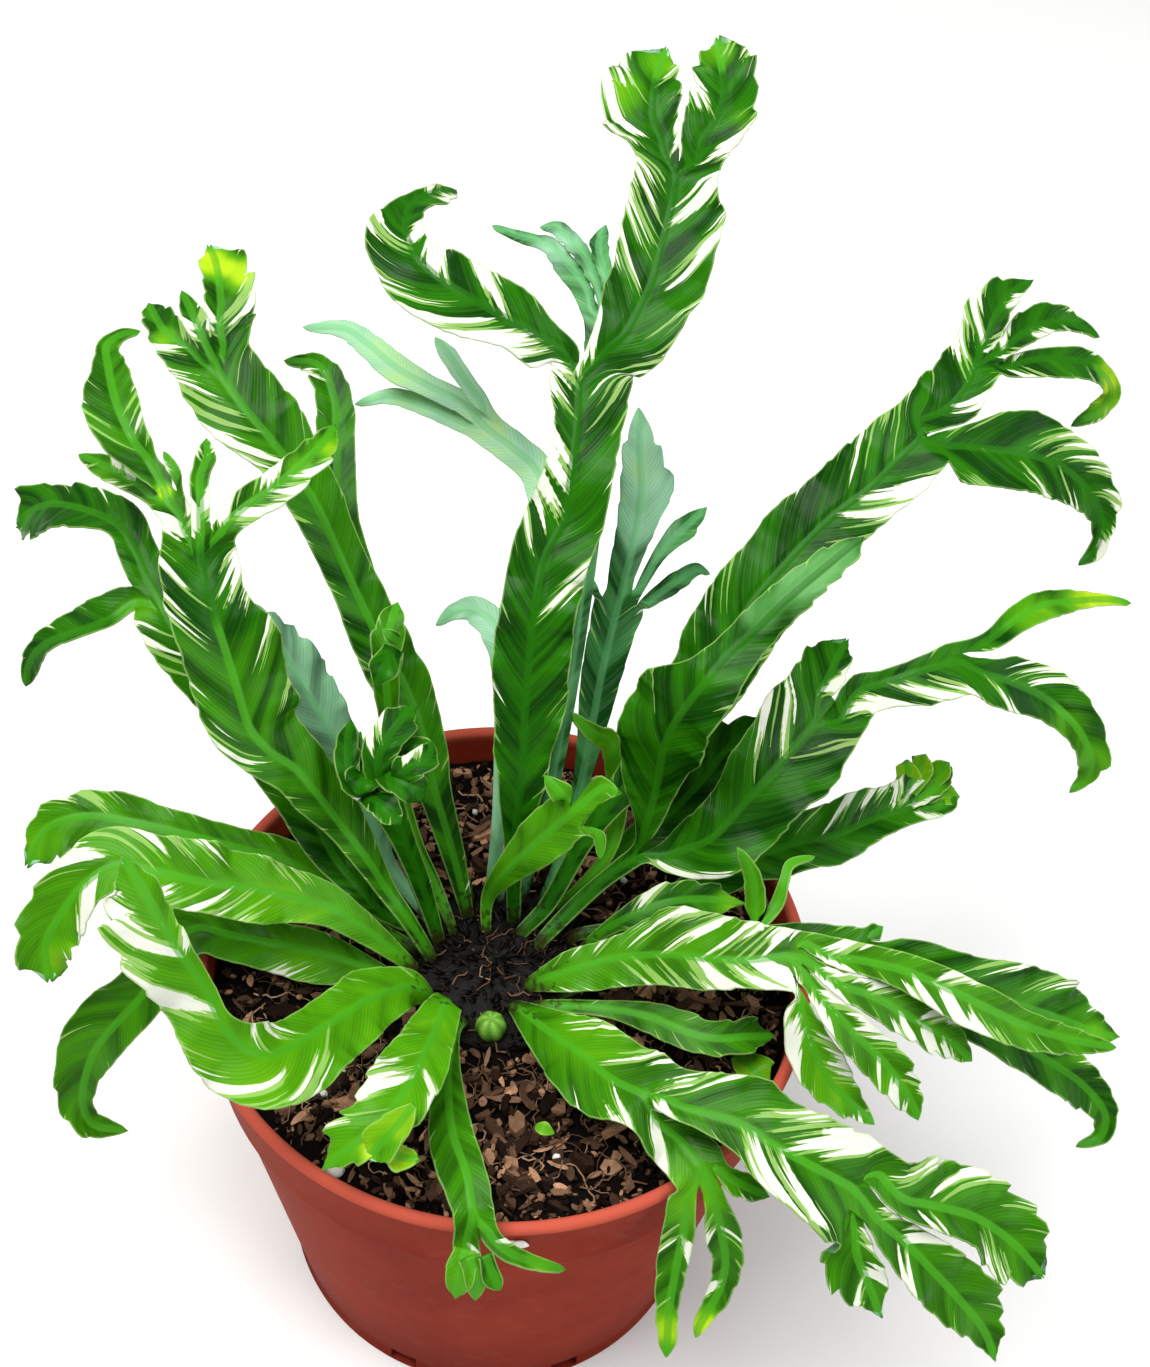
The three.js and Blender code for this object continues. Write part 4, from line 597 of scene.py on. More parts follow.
# Small curled lobes and seedlings, each with its look, as in LOOKS below, and its path.
FRILLS = {
    "leaf_curl_short": (
        (0.03, 0.85, [], [(-26, -79, 162, 3, -0.5)]),
        arm(
            [
                (-21, -72, 172, 1, 1), (-23, -74, 170, 3, 3), (-26, -77, 167, 4, 5), (-29, -79, 164, 5, 5),
                (-32, -81, 161, 4, 3),
            ]
        ),
    ),
    "leaf_curl_short_low": (
        (0.04, 0.9, [], []),
        arm([(-27, -78, 163, 3, 3), (-24, -80, 160, 3, 4), (-19, -81, 161, 2, 2)]),
    ),
    "leaf_crest_right_a": (
        (0.05, 0.8, [], []),
        arm([(118, 50, 159, 2, 2), (121, 55, 164, 4, 4), (120, 58, 169, 3, 3)]),
    ),
    "leaf_crest_right_b": (
        (0.05, 0.8, [], []),
        arm([(120, 50, 159, 2, 2), (124, 56, 166, 3, 4), (125, 58, 172, 3, 3)]),
    ),
    "leaf_crest_right_c": (
        (0.05, 0.7, [], []),
        arm([(121, 49, 159, 2, 2), (129, 56, 163, 4, 3), (133, 58, 169, 3, 3)]),
    ),
    "leaf_crest_right_d": (
        (0.05, 0.8, [], []),
        arm([(121, 48, 158, 2, 2), (131, 53, 160, 4, 4), (138, 55, 157, 3, 3)]),
    ),
    "leaf_sprout": (
        (0.01, 0.75, [], []),
        arm([(67, -29, 136, 2, 2), (70, -33, 138, 4, 5), (72, -36, 139, 5, 5), (75, -39, 137, 4, 4)]),
    ),
    "leaf_seedling": (
        (0.01, 0.9, [], []),
        arm([(11, -54, 134, 1, 1), (13, -55, 135, 2, 2), (16, -56, 134, 1, 1)]),
    ),
    "leaf_narrow_low": (
        (0.01, 0.2, [], []),
        arm([(-1, -99, 147, 2, 2), (1, -102, 143, 2, 3), (3, -104, 139, 2, 2)]),
    ),
    "leaf_crest_left_a": (
        (0.06, 0.1, [], []),
        arm([(-41, 18, 201, 3, 3), (-36, 20, 207, 4, 4), (-32, 23, 212, 4, 4), (-28, 26, 215, 1, 1)]),
    ),
    "leaf_crest_left_b": (
        (0.12, 0.1, [], []),
        arm([(-36, 19, 204, 3, 3), (-30, 17, 208, 3, 3), (-26, 16, 208, 4, 4), (-23, 14, 205, 2, 2)]),
    ),
    "leaf_crest_left_c": (
        (0.06, 0.0, [], []),
        arm([(-38, 15, 202, 3, 3), (-33, 9, 206, 5, 5), (-28, 5, 206, 5, 5), (-25, 4, 202, 3, 3)]),
    ),
    "leaf_crest_left_d": (
        (0.06, 0.0, [], []),
        arm([(-40, 16, 202, 3, 3), (-41, 7, 205, 5, 5), (-42, 4, 203, 3, 3)]),
    ),
    "leaf_crest_left_e": (
        (0.1, 0.0, [], []),
        arm([(-40, 6, 200, 3, 3), (-35, 0, 203, 4, 4), (-30, -4, 201, 3, 3)]),
    ),
    "leaf_crest_left_f": (
        (0.04, 0.2, [], []),
        arm([(-44, 11, 200, 3, 3), (-45, 16, 205, 4, 4), (-43, 22, 208, 1, 1)]),
    ),
    "leaf_narrow_curl_a": (
        (0.03, 0.0, [], []),
        arm([(-35, 37, 226, 3, 3), (-37, 29, 226, 4, 4), (-39, 26, 222, 1, 1)]),
    ),
    "leaf_narrow_curl_b": (
        (0.03, 0.2, [], []),
        arm([(-34, 37, 229, 2, 2), (-36, 36, 232, 2, 2), (-38, 37, 233, 1, 1)]),
    ),
    "leaf_front_fan_a": (
        (0.02, 0.6, [], []),
        arm([(-6, -97, 146, 3, 3), (-7, -102, 143, 4, 4), (-8, -105, 136, 2, 2)]),
    ),
    "leaf_front_fan_b": (
        (0.02, 0.5, [], []),
        arm([(-5, -99, 146, 3, 3), (-3, -103, 142, 3, 3), (-3, -105, 135, 1, 1)]),
    ),
}


# How each frond looks: the white share of its face, and how young it is (0 dark, 1 yellow-green).
# Then come its whiter areas and its younger areas: x, y and z of the middle, the radius, and how much.
# A younger area with a negative amount turns pale blue-green: the paler side of a fold, and on the big left
# frond a painted sheen.
LOOKS = {
    "frond_centre_tall": (
        0.07, 0.0,
        [
            (9, 77, 266, 2, 0.9), (8, 71, 261, 2, 0.9), (8, 66, 254, 2, 0.8), (3, 67, 255, 2, 0.5),
            (1, 64, 251, 2, 0.4), (28, 137, 318, 7, 0.5), (26, 128, 310, 6, 0.5), (24, 117, 302, 4, 0.3),
            (44, 133, 317, 4, 0.7), (44, 119, 307, 4, 0.5), (52, 147, 323, 4, 0.6),
            (45, 155, 327, 4, 0.6), (16, 156, 328, 4, 0.5), (21, 166, 333, 3, 0.5),
            (33, 167, 333, 3, 0.5), (55, 174, 337, 2, 0.5), (49, 176, 336, 2, 0.5), (29, 92, 282, 5, 0.5),
            (19, 88, 276, 4, 0.4), (38, 100, 294, 4, 0.2), (-14, 93, 291, 5, 0.8), (-5, 94, 288, 5, 0.8),
            (6, 95, 282, 5, 0.8), (9, 88, 276, 4, 0.6), (-34, 122, 306, 4, 0.9), (-30, 111, 305, 4, 0.9),
            (-27, 105, 302, 3, 0.8), (-32, 142, 305, 4, 0.7), (-27, 148, 302, 3, 0.7),
            (-16, 107, 302, 2, 0.7), (-11, 102, 298, 2, 0.6), (-43, 117, 307, 4, 0.6),
            (-32, 97, 299, 3, 0.4), (-27, 94, 295, 3, 0.6), (9, 71, 261, 4, 0.5), (11, 51, 239, 4, 0.5),
        ],
        [
            (18, 159, 331, 6, 0.7), (32, 171, 335, 5, 0.7), (46, 176, 336, 5, 0.6),
            (55, 153, 327, 3, 0.4),
        ],
    ),
    "frond_big_left": (
        0.08, 0.25,
        [
            (-96, 51, 256, 4, 0.9), (-115, 80, 253, 3, 0.9), (-111, 76, 253, 3, 0.9),
            (-114, 69, 252, 3, 0.4), (-124, 81, 249, 3, 0.4), (-69, 57, 264, 4, 0.8),
            (-72, 51, 260, 4, 0.8), (-63, 56, 263, 4, 0.7), (-58, 61, 264, 4, 0.6),
            (-77, 49, 258, 3, 0.7), (-89, 67, 267, 2, 0.6), (-86, 70, 267, 2, 0.5),
            (-111, 84, 272, 3, 0.2), (-121, 78, 271, 2, 0.2), (-92, 37, 250, 5, 0.3),
            (-88, 35, 247, 4, 0.3), (-90, 29, 243, 4, 0.3), (-80, 37, 247, 4, 0.5),
            (-76, 32, 242, 3, 0.3), (-71, 26, 230, 3, 0.2), (-79, 6, 217, 2, 0.3), (-68, 9, 210, 3, 0.3),
        ],
        [
            (-98, 59, 259, 2, 0.9), (-54, 70, 268, 3, 0.6), (-62, 63, 266, 3, 0.4),
            # Painted sheen: pale blue-green on the glossy upper blade.
            (-88, 32, 245, 6, -0.3), (-83, 39, 249, 5, -0.3), (-75, 32, 242, 4, -0.3),
            (-119, 74, 249, 4, 0.3),
        ],
    ),
    "frond_two_armed": (
        0.03, 0.12,
        [
            (-100, 48, 219, 4, 0.4), (-101, 42, 217, 4, 0.3),
        ],
        [
            (-108, 53, 220, 4, 0.4),
        ],
    ),
    "frond_tall_left": (
        0.06, 0.2,
        [
            (-89, 124, 274, 3, 0.6), (-85, 125, 275, 3, 0.6), (-105, 111, 267, 4, 0.5),
            (-95, 99, 265, 4, 0.3), (-91, 93, 262, 3, 0.3), (-85, 88, 258, 4, 0.4),
            (-80, 82, 255, 4, 0.5), (-76, 80, 250, 4, 0.5),
        ],
        [
            (-97, 141, 279, 5, 0.9), (-86, 137, 277, 5, 0.9), (-107, 115, 269, 3, 0.6),
        ],
    ),
    "frond_narrow_left": (
        0.01, 0.2,
        [
            (-66, 124, 253, 2, 0.8),
        ],
        [],
    ),
    "frond_upper_right": (
        0.09, 0.05,
        [
            (126, 136, 272, 4, 0.7), (130, 143, 276, 4, 0.7), (125, 129, 269, 3, 0.5),
            (143, 148, 277, 4, 0.7), (116, 119, 263, 4, 0.2), (107, 111, 259, 4, 0.3),
            (95, 100, 251, 4, 0.3), (80, 92, 240, 4, 0.2), (112, 92, 248, 5, 0.7), (103, 87, 245, 4, 0.6),
            (127, 115, 262, 3, 0.6), (157, 114, 251, 4, 0.6), (159, 107, 243, 4, 0.4),
            (146, 101, 249, 3, 0.3), (168, 112, 244, 4, 0.5), (176, 110, 234, 3, 0.5),
            (175, 105, 221, 4, 0.8), (143, 129, 266, 3, 0.4), (163, 150, 266, 3, 0.5),
            (177, 143, 240, 3, 0.4), (60, 76, 224, 5, 0.1),
        ],
        [
            (177, 147, 254, 5, 0.9), (178, 146, 244, 5, 0.8),
        ],
    ),
    "frond_right_forked": (
        0.06, 0.1,
        [
            (103, 50, 200, 4, 0.9), (111, 49, 201, 3, 0.8), (126, 52, 204, 4, 0.7),
            (121, 54, 205, 3, 0.5), (133, 51, 204, 4, 0.6), (143, 54, 201, 3, 0.5),
            (154, 64, 206, 3, 0.6), (162, 63, 204, 3, 0.6), (78, 45, 198, 2, 0.8), (72, 41, 193, 3, 0.5),
            (91, 37, 195, 3, 0.3), (53, 15, 161, 3, 0.6),
        ],
        [
            (155, 79, 211, 8, 0.6), (172, 93, 208, 7, 0.8), (181, 97, 204, 6, 0.8),
            (174, 52, 176, 7, 0.5), (164, 54, 191, 6, 0.3), (64, 44, 241, 5, -0.5),
            (75, 49, 249, 6, -0.6), (85, 52, 254, 5, -0.6), (57, 37, 232, 4, -0.3),
        ],
    ),
    "frond_curly_right": (
        0.05, 0.1,
        [
            (118, 50, 162, 4, 0.9), (122, 53, 164, 3, 0.8), (101, 44, 161, 3, 0.5),
            (109, 46, 161, 3, 0.4),
        ],
        [
            (129, 53, 163, 4, 0.4),
        ],
    ),
    "frond_striped_right": (
        0.06, 0.15,
        [
            (72, 55, 176, 4, 0.5), (60, 48, 170, 4, 0.4), (47, 46, 167, 3, 0.7),
        ],
        [],
    ),
    "frond_front_striped": (
        0.09, 0.4,
        [
            (49, -6, 167, 4, 0.5), (42, -6, 163, 3, 0.4), (56, -9, 169, 4, 0.5), (63, -14, 173, 5, 0.5),
            (72, -17, 175, 5, 0.6), (28, -7, 154, 3, 0.3), (40, -17, 156, 3, 0.4), (46, -20, 160, 3, 0.5),
            (57, -24, 165, 4, 0.6), (60, -25, 166, 3, 0.6), (66, -25, 170, 3, 0.7),
            (74, -25, 172, 4, 0.9), (90, -20, 176, 4, 0.6), (87, -26, 172, 3, 0.6),
            (94, -27, 172, 3, 0.5), (78, -41, 154, 4, 0.7), (80, -33, 168, 2, 0.5),
            (93, -35, 166, 4, 0.5), (98, -38, 161, 3, 0.5), (92, -39, 155, 3, 0.5),
            (97, -42, 147, 3, 0.5), (120, -29, 159, 4, 0.9), (124, -32, 167, 3, 0.9),
            (125, -34, 152, 3, 0.9), (109, -34, 163, 3, 0.6), (109, -43, 150, 3, 0.6),
            (113, -47, 141, 2, 0.7),
        ],
        [
            (84, -38, 159, 7, 0.2), (91, -45, 146, 7, 0.3), (107, -46, 148, 4, 0.3),
        ],
    ),
    "frond_front_right_big": (
        0.08, 0.28,
        [
            (40, -59, 157, 3, 0.7), (44, -70, 149, 3, 0.9), (42, -67, 153, 3, 0.7),
            (51, -86, 131, 2, 0.8), (57, -84, 133, 2, 0.6), (59, -90, 116, 2, 0.9),
            (51, -57, 164, 3, 0.4), (58, -57, 166, 3, 0.4), (67, -76, 163, 3, 0.8),
            (75, -81, 162, 3, 0.8), (72, -68, 166, 3, 0.6), (83, -73, 166, 4, 0.7),
            (91, -74, 165, 4, 0.7), (97, -71, 165, 3, 0.6), (112, -76, 158, 3, 0.5),
            (126, -73, 152, 3, 0.6), (100, -88, 154, 3, 0.6), (106, -92, 146, 2, 0.8),
            (103, -97, 140, 3, 0.8), (96, -98, 140, 2, 0.8), (130, -86, 143, 2, 0.6),
            (136, -91, 135, 2, 0.6), (145, -77, 142, 2, 0.3), (32, -60, 156, 2, 0.6),
            (37, -48, 160, 3, 0.5), (28, -34, 156, 3, 0.3), (48, -57, 163, 3, 0.3),
        ],
        [
            (27, -32, 155, 11, 0.4), (49, -99, 109, 4, 0.7), (59, -98, 108, 4, 0.9),
            (52, -79, 144, 7, 0.4),
        ],
    ),
    "frond_front_left_curl": (
        0.06, 0.55,
        [
            (-86, -52, 217, 3, 0.8), (-84, -55, 211, 3, 0.8), (-79, -54, 208, 2, 0.5),
            (-95, -59, 216, 2, 0.7), (-95, -59, 216, 2, 0.6), (-85, -65, 205, 4, 0.9),
            (-79, -62, 199, 3, 0.8), (-59, -55, 178, 3, 0.5), (-52, -52, 171, 2, 0.5),
            (-60, -61, 178, 2, 0.6), (-46, -59, 168, 3, 0.5), (-64, -75, 178, 3, 0.6),
            (-76, -73, 189, 3, 0.3), (-79, -64, 194, 2, 0.3),
        ],
        [
            (-59, -72, 177, 10, 0.1), (-74, -67, 190, 6, 0.1),
        ],
    ),
    "frond_long_left_front": (
        0.07, 0.5,
        [
            (-92, -15, 182, 3, 0.5), (-88, -16, 180, 3, 0.5), (-80, -18, 178, 4, 0.5),
            (-102, -6, 188, 2, 0.5), (-92, -6, 186, 2, 0.5), (-86, -7, 185, 2, 0.4),
            (-79, -6, 181, 2, 0.4), (-72, -14, 173, 3, 0.3), (-59, -1, 170, 3, 0.2),
            (-110, 0, 189, 4, 0.4), (-122, -9, 185, 2, 0.7), (-113, -22, 172, 4, 0.9),
        ],
        [
            (-63, -13, 167, 11, 0.2), (-121, -26, 163, 4, 0.3),
        ],
    ),
    "frond_long_left_back": (
        0.03, 0.35,
        [
            (-121, 20, 175, 3, 0.4),
        ],
        [
            (-135, 11, 164, 5, 0.3),
        ],
    ),
    "frond_front_short": (
        0.03, 0.6,
        [
            (-30, -63, 168, 4, 0.8), (-27, -56, 164, 3, 0.5), (-37, -72, 165, 3, 0.3),
            (-41, -75, 162, 2, 0.2), (-18, -59, 164, 2, 0.5),
        ],
        [
            (-28, -79, 163, 4, 0.9),
        ],
    ),
    "frond_low_left": (
        0.05, 0.35,
        [
            (-63, -11, 143, 4, 0.4), (-55, -11, 142, 3, 0.3),
        ],
        [
            (-59, -12, 143, 7, 0.3),
        ],
    ),
    "frond_front_narrow": (
        0.02, 0.3,
        [
            (3, -94, 144, 2, 0.6),
        ],
        [
            (-7, -98, 136, 5, 0.4), (13, -93, 134, 4, 0.4),
        ],
    ),
    "frond_far_right": (
        0.06, 0.2,
        [
            (148, -4, 152, 4, 0.3), (162, -5, 146, 4, 0.3),
        ],
        [
            (175, -15, 130, 5, 0.7),
        ],
    ),
    "frond_young_crest": (
        0.04, 0.05,
        [
            (-27, 11, 213, 3, 0.7), (-36, 7, 199, 2, 0.6),
        ],
        [],
    ),
    "frond_dark_right": (
        0.01, 0.2,
        [
            (41, 9, 159, 2, 0.8),
        ],
        [
            (66, 8, 158, 4, 0.7),
        ],
    ),
    "frond_two_tips": (
        0.01, 0.5,
        [],
        [],
    ),
    "frond_young_centre": (
        0.05, 0.45,
        [],
        [],
    ),
    "frond_young_narrow": (
        0.02, 0.3,
        [],
        [],
    ),
    "frond_leaf_tip": (
        0.02, 0.6,
        [],
        [],
    ),
    "frond_under_right": (
        0.03, 0.3,
        [],
        [],
    ),
    "frond_pale_right": (
        0.02, 0.1,
        [
            (21, 79, 210, 4, 0.2),
        ],
        [
            (32, 110, 246, 10, 0.5), (34, 97, 234, 8, 0.4), (33, 86, 224, 6, 0.2),
        ],
    ),
    "frond_back_small": (
        0.02, 0.15,
        [],
        [
            (5, 169, 273, 6, 0.4),
        ],
    ),
    "frond_pale_back_left": (
        0.05, 0.72,
        [],
        [
            (-38, 129, 256, 9, 0.1), (-15, 99, 249, 8, 0.1),
        ],
    ),
    "frond_pale_tip": (
        0.02, 0.5,
        [],
        [],
    ),
    "frond_pale_left": (
        0.04, 0.4,
        [],
        [],
    ),
}


# Fronds that show their underside to the front.
PALE = (
    "frond_pale_right",
    "frond_back_small",
    "frond_pale_back_left",
    "frond_pale_tip",
    "frond_pale_left",
)

# How the blades are laid out, the same as in the solids.
ROW_SPACING = 9
FINE = 6
CROWN = (-2, 0)
FACE_AIM_Y = -4
FRONT_TILT = 0.45
INWARD_TILT = 0.25
ROOT_DEPTH = 12
ROOT_LEAN = 0.12
CUP = 0.08
RUFFLE = 0.16
LOBING = 0.08
FORK_CALM = 0.2
SMALLEST_HALF = 1
SMALLEST_REACH = 0.4
END_SHARE = 0.9
FEWEST_COLUMNS = 8
RIPPLE_LEAST = 0.7
RIPPLE_SPREAD = 0.5
CALM_WIDTH = 3
CALM_FADE = 5
JITTER_STEP = 12.9898
JITTER_SEED = 78.233
JITTER_SPREAD = 43758.5453

# What the fine surface adds to them.
WEB_GAP = 0.7
WEB_REACH = 2.5
WEB_ROWS = 9
WEB_OVERLAP = 1.2
WEB_PULL = 1.5
WEB_EDGE = 5
RIB_COLUMN = 0.9
MARGIN_COLUMN = 0.45
COLUMN_WIDTH = 1.15
MARGIN_THICKNESS = 0.5
RIB_THICKNESS = 0.9
PETIOLE_THICKNESS = 1.6
PETIOLE_FADE = 45
TIP_LENGTH = 3.5
CRISP = 0.03
MARGIN_LOBES = 0.06
FORK_LOBES = 0.1
FORK_LOBES_REACH = 30
TIP_LOBES = 0.75
TIP_LOBES_REACH = 26
LOBE_LENGTHS = (5, 10)
LOBE_HEIGHTS = (0.35, 1)
LOBE_PEAK = 0.74
LOBE_MIDDLE = 0.6
LEAN = 0.9
TWIST = 0.5
FRINGE_ROWS = 9
FRINGE_SPACING = 6
FRINGE_REACH = 0.55
FRINGE_BOW = 0.3
FINGER_HEIGHTS = (0.5, 1)
BLUNT_TIP = 0.6
BLUNT_WIDTH = 5
BLUNT_FADE = 5
SHARP_TIP = 0.12
TOOTH_WIDTH = 1.2
TOOTH_FADE = 3

# How the veins leave the midrib, and how the white streaks along them are spread.
VEIN_SLOPE = 1.05
VEIN_CURVE = 0.03
VEIN_SPACING = 1.6
SIDE_SHIFT = 37
SEED_SHIFT = 5.3
NOISE_SPREAD = 0.075
BAND_WIDTH = 0.5
FRILL_STATION = 150
PATCH_STRENGTH = 0.84
PLAIN_LEVEL = 0.7
FRILL_JAG = 0.35

# Streaks along the veins: millimetres across them and along them, a shift that sets each kind apart,
# and the detail and roughness of their noise.
# Painted shade: broad darker and lighter bands along the veins, for the shading of the blade's ripples.
RIPPLE_SHADE_STREAKS = (9, 40, 3, 2, 0.5)
# Painted light: thin lighter lines along the veins, for the light on the vein folds.
VEIN_FOLD_LIGHT_STREAKS = (1.3, 60, 7, 1, 0.5)
BROAD_STREAKS = (4.4, 60, 0, 2, 0.55)
THIN_STREAKS = (1.5, 70, 5, 1, 0.5)
FLECK_STREAKS = (2.2, 40, 11, 2, 0.6)
PLEAT_STREAKS = (6, 50, 19, 1, 0.5)
BROAD_SHARE = 0.75
DIMPLE_SCALE = 150
DIMPLE_DEPTH = 0.12
FOOT_FLECK_SCALE = 420
FOOT_FLECK_REACH = 70

# Colours of the fronds.
DARK_GREEN = (0.0025, 0.035, 0.0008)
MID_GREEN = (0.013, 0.115, 0.001)
LIGHT_GREEN = (0.065, 0.27, 0.003)
GOLD_GREEN = (0.42, 0.6, 0.012)
PETIOLE_BROWN = (0.02, 0.013, 0.005)
CREAM = (0.6, 0.62, 0.53)
RIB_GREEN = (0.011, 0.105, 0.002)
RIB_LIGHT = (0.05, 0.27, 0.01)
RIB_PALE = (0.12, 0.4, 0.15)
PALE_LINE = (0.28, 0.46, 0.12)
BACK_DARK = (0.004, 0.06, 0.004)
BACK_GREEN = (0.045, 0.23, 0.045)
BACK_PALE = (0.26, 0.5, 0.32)
FOLD_AND_SHEEN_PALE = (0.11, 0.33, 0.09)


def jitter(index, seed):
    """A repeatable value between -1 and 1 for a whole number and a seed."""
    wave = np.sin(index * JITTER_STEP + seed * JITTER_SEED) * JITTER_SPREAD
    return (wave - np.floor(wave)) * 2 - 1


def unit(vectors):
    return vectors / np.maximum(np.linalg.norm(vectors, axis=-1, keepdims=True), 1e-9)


def ease(share):
    share = np.clip(share, 0, 1)
    return share * share * (3 - 2 * share)


def catmull_rom(a, b, c, d, t):
    linear = 2 * b + (c - a) * t
    square = (2 * a - 5 * b + 4 * c - d) * t**2
    cubic = (3 * b - a - 3 * c + d) * t**3
    return 0.5 * (linear + square + cubic)


def smooth_rows(controls, before):
    """Rows along a smooth curve through the control rows, with FINE rows to each row of the solid."""
    points = [before, *controls, 2 * controls[-1] - controls[-2]]
    rows = []
    for i in range(1, len(points) - 2):
        length = np.linalg.norm(points[i + 1][:3] - points[i][:3])
        steps = max(1, int(length / ROW_SPACING + 0.5)) * FINE
        share = (np.arange(steps) / steps)[:, None]
        rows.append(catmull_rom(points[i - 1], points[i], points[i + 1], points[i + 2], share))
    return np.vstack([*rows, controls[-1][None]])


def blade_frames(rows, pale):
    """The blade's ways at each row: along it, across it to the right, and out of its face."""
    index = np.arange(len(rows))
    ahead = rows[np.minimum(index + FINE, len(rows) - 1), :3]
    behind = rows[np.maximum(index - FINE, 0), :3]
    along = unit(ahead - behind)
    inward = np.zeros_like(along)
    inward[:, 0] = CROWN[0] - rows[:, 0]
    inward[:, 1] = FACE_AIM_Y - rows[:, 1]
    facing = np.array([0, -FRONT_TILT, 1]) + INWARD_TILT * unit(inward)
    if pale:
        facing = -facing
    face = unit(facing - along * (facing * along).sum(1, keepdims=True))
    return along, np.cross(along, face), face


def plan(branch, start, lead, pale, seed, count):
    """Lays out the rows of a branch and of its forks. "count" numbers the rows of the solid."""
    controls = ([start] if start is not None else []) + branch.path
    before = controls[0].copy()
    before[:3] -= lead * np.linalg.norm(controls[1][:3] - controls[0][:3])
    branch.rows = smooth_rows(controls, before)
    branch.along, branch.across, branch.face = blade_frames(branch.rows, pale)
    branch.seed = seed
    branch.coarse = (len(branch.rows) - 1) // FINE + 1
    branch.skipped = 0 if start is None else 1
    branch.count = count
    count += branch.coarse - branch.skipped
    if not branch.forks:
        return count
    end = branch.rows[-1]
    across = branch.across[-1]
    branch.forks.sort(key=lambda fork: (fork.path[0][:3] - end[:3]) @ across)
    widths = np.array([fork.path[0][3] + fork.path[0][4] for fork in branch.forks])
    branch.cuts = np.concatenate([[0], np.cumsum(widths)]) / widths.sum() * 2 - 1
    for i, fork in enumerate(branch.forks):
        low, high = (v * (end[3] if v < 0 else end[4]) for v in branch.cuts[i : i + 2])
        half = (high - low) / 2
        row = np.array([*(end[:3] + across * (low + high) / 2), half, half])
        count = plan(fork, row, branch.along[-1], pale, seed + 3 + i, count)
    return count


def needed_columns(branch):
    """An even number of columns, enough for a branch's width and for all of its forks."""
    widest = max(max(row[3], row[4]) for row in branch.rows)
    branch.columns = max(FEWEST_COLUMNS, 2 * int(widest / COLUMN_WIDTH + 1.5))
    branch.columns = max(branch.columns, sum(needed_columns(fork) for fork in branch.forks))
    return branch.columns


def share_columns(branch):
    """Gives a branch's columns out to its forks, in twos, so that each starts from a part of its end."""
    spare = branch.columns - sum(fork.columns for fork in branch.forks)
    for i in range(spare // 2 if branch.forks else 0):
        branch.forks[i % len(branch.forks)].columns += 2
    for fork in branch.forks:
        share_columns(fork)


def middles(branch):
    """Points along the midrib of a branch and of its forks."""
    step = FINE // 2
    return np.vstack([branch.rows[step::step, :3], *(middles(fork) for fork in branch.forks)])


def clear_reach(places, outward, reach, neighbours, ends):
    """How far a margin may reach, so as to stay nearer to its own midrib than to a neighbour's.

    It also stays ahead of the end of the blade that it grew from.
    """
    if len(neighbours):
        apart = neighbours[None] - places[:, None]
        towards = 2 * (WEB_GAP + (apart * outward[:, None]).sum(2))
        even = ((apart**2).sum(2) - WEB_GAP**2) / np.where(towards > 0, towards, 1)
        even = np.where(towards > 0, even, np.inf).min(1)
        reach = np.minimum(reach, np.maximum(even, SMALLEST_REACH))
    for place, along, across, width in ends:
        apart = places - place
        back = -(outward @ along)
        limit = np.maximum(SMALLEST_REACH, (apart @ along) / np.maximum(back, 1e-6))
        side = np.abs(apart @ across + (outward @ across) * limit)
        held = (back > 0) & (side < width)
        reach = np.where(held, np.minimum(reach, limit * END_SHARE), reach)
    return reach


def between_rows(values, count):
    """Eases values of the solid's rows over the fine rows between them."""
    place = np.arange(count) / FINE
    low = np.minimum(place.astype(int), len(values) - 1)
    high = np.minimum(low + 1, len(values) - 1)
    share = ease(place - low)
    return values[low] * (1 - share) + values[high] * share


def side_waves(branch, side, halves):
    """The ripple and the bulge of one margin at each fine row, and how strong they are there.

    "side" is -1 for the left margin and 1 for the right one.
    """
    index = np.arange(branch.coarse)
    number = branch.count + index - branch.skipped
    width = halves[::FINE].mean(1)
    by_fork = np.zeros(branch.coarse, bool)
    by_fork[1 : 1 + branch.skipped] = True
    by_fork[-1] |= bool(branch.forks)
    fade = np.clip((width - CALM_WIDTH) / CALM_FADE, 0, 1) * np.where(by_fork, FORK_CALM, 1)
    turn = np.where(index % 2, 1, -1)
    ripple = fade * turn * (RIPPLE_LEAST + RIPPLE_SPREAD * jitter(number, branch.seed + side))
    bulge = 1 + LOBING * fade * jitter(number, branch.seed + 7 * side)
    if branch.skipped:
        ripple[0] = 0
        bulge[0] = 1
    count = len(branch.rows)
    return between_rows(ripple, count), between_rows(bulge, count), between_rows(fade, count)


def half_columns(reach, count):
    """Distances from the midrib to the margin: narrow columns at both ends and even ones between."""
    share = np.arange(count + 1) / count
    first = np.minimum(RIB_COLUMN, reach / count)
    last = np.minimum(MARGIN_COLUMN, reach / count)
    inner = (share - share[1]) / max(share[-2] - share[1], 1e-9) if count > 2 else share
    places = first[:, None] + inner[None] * (reach - first - last)[:, None]
    places[:, 0] = 0
    places[:, -1] = reach
    return places


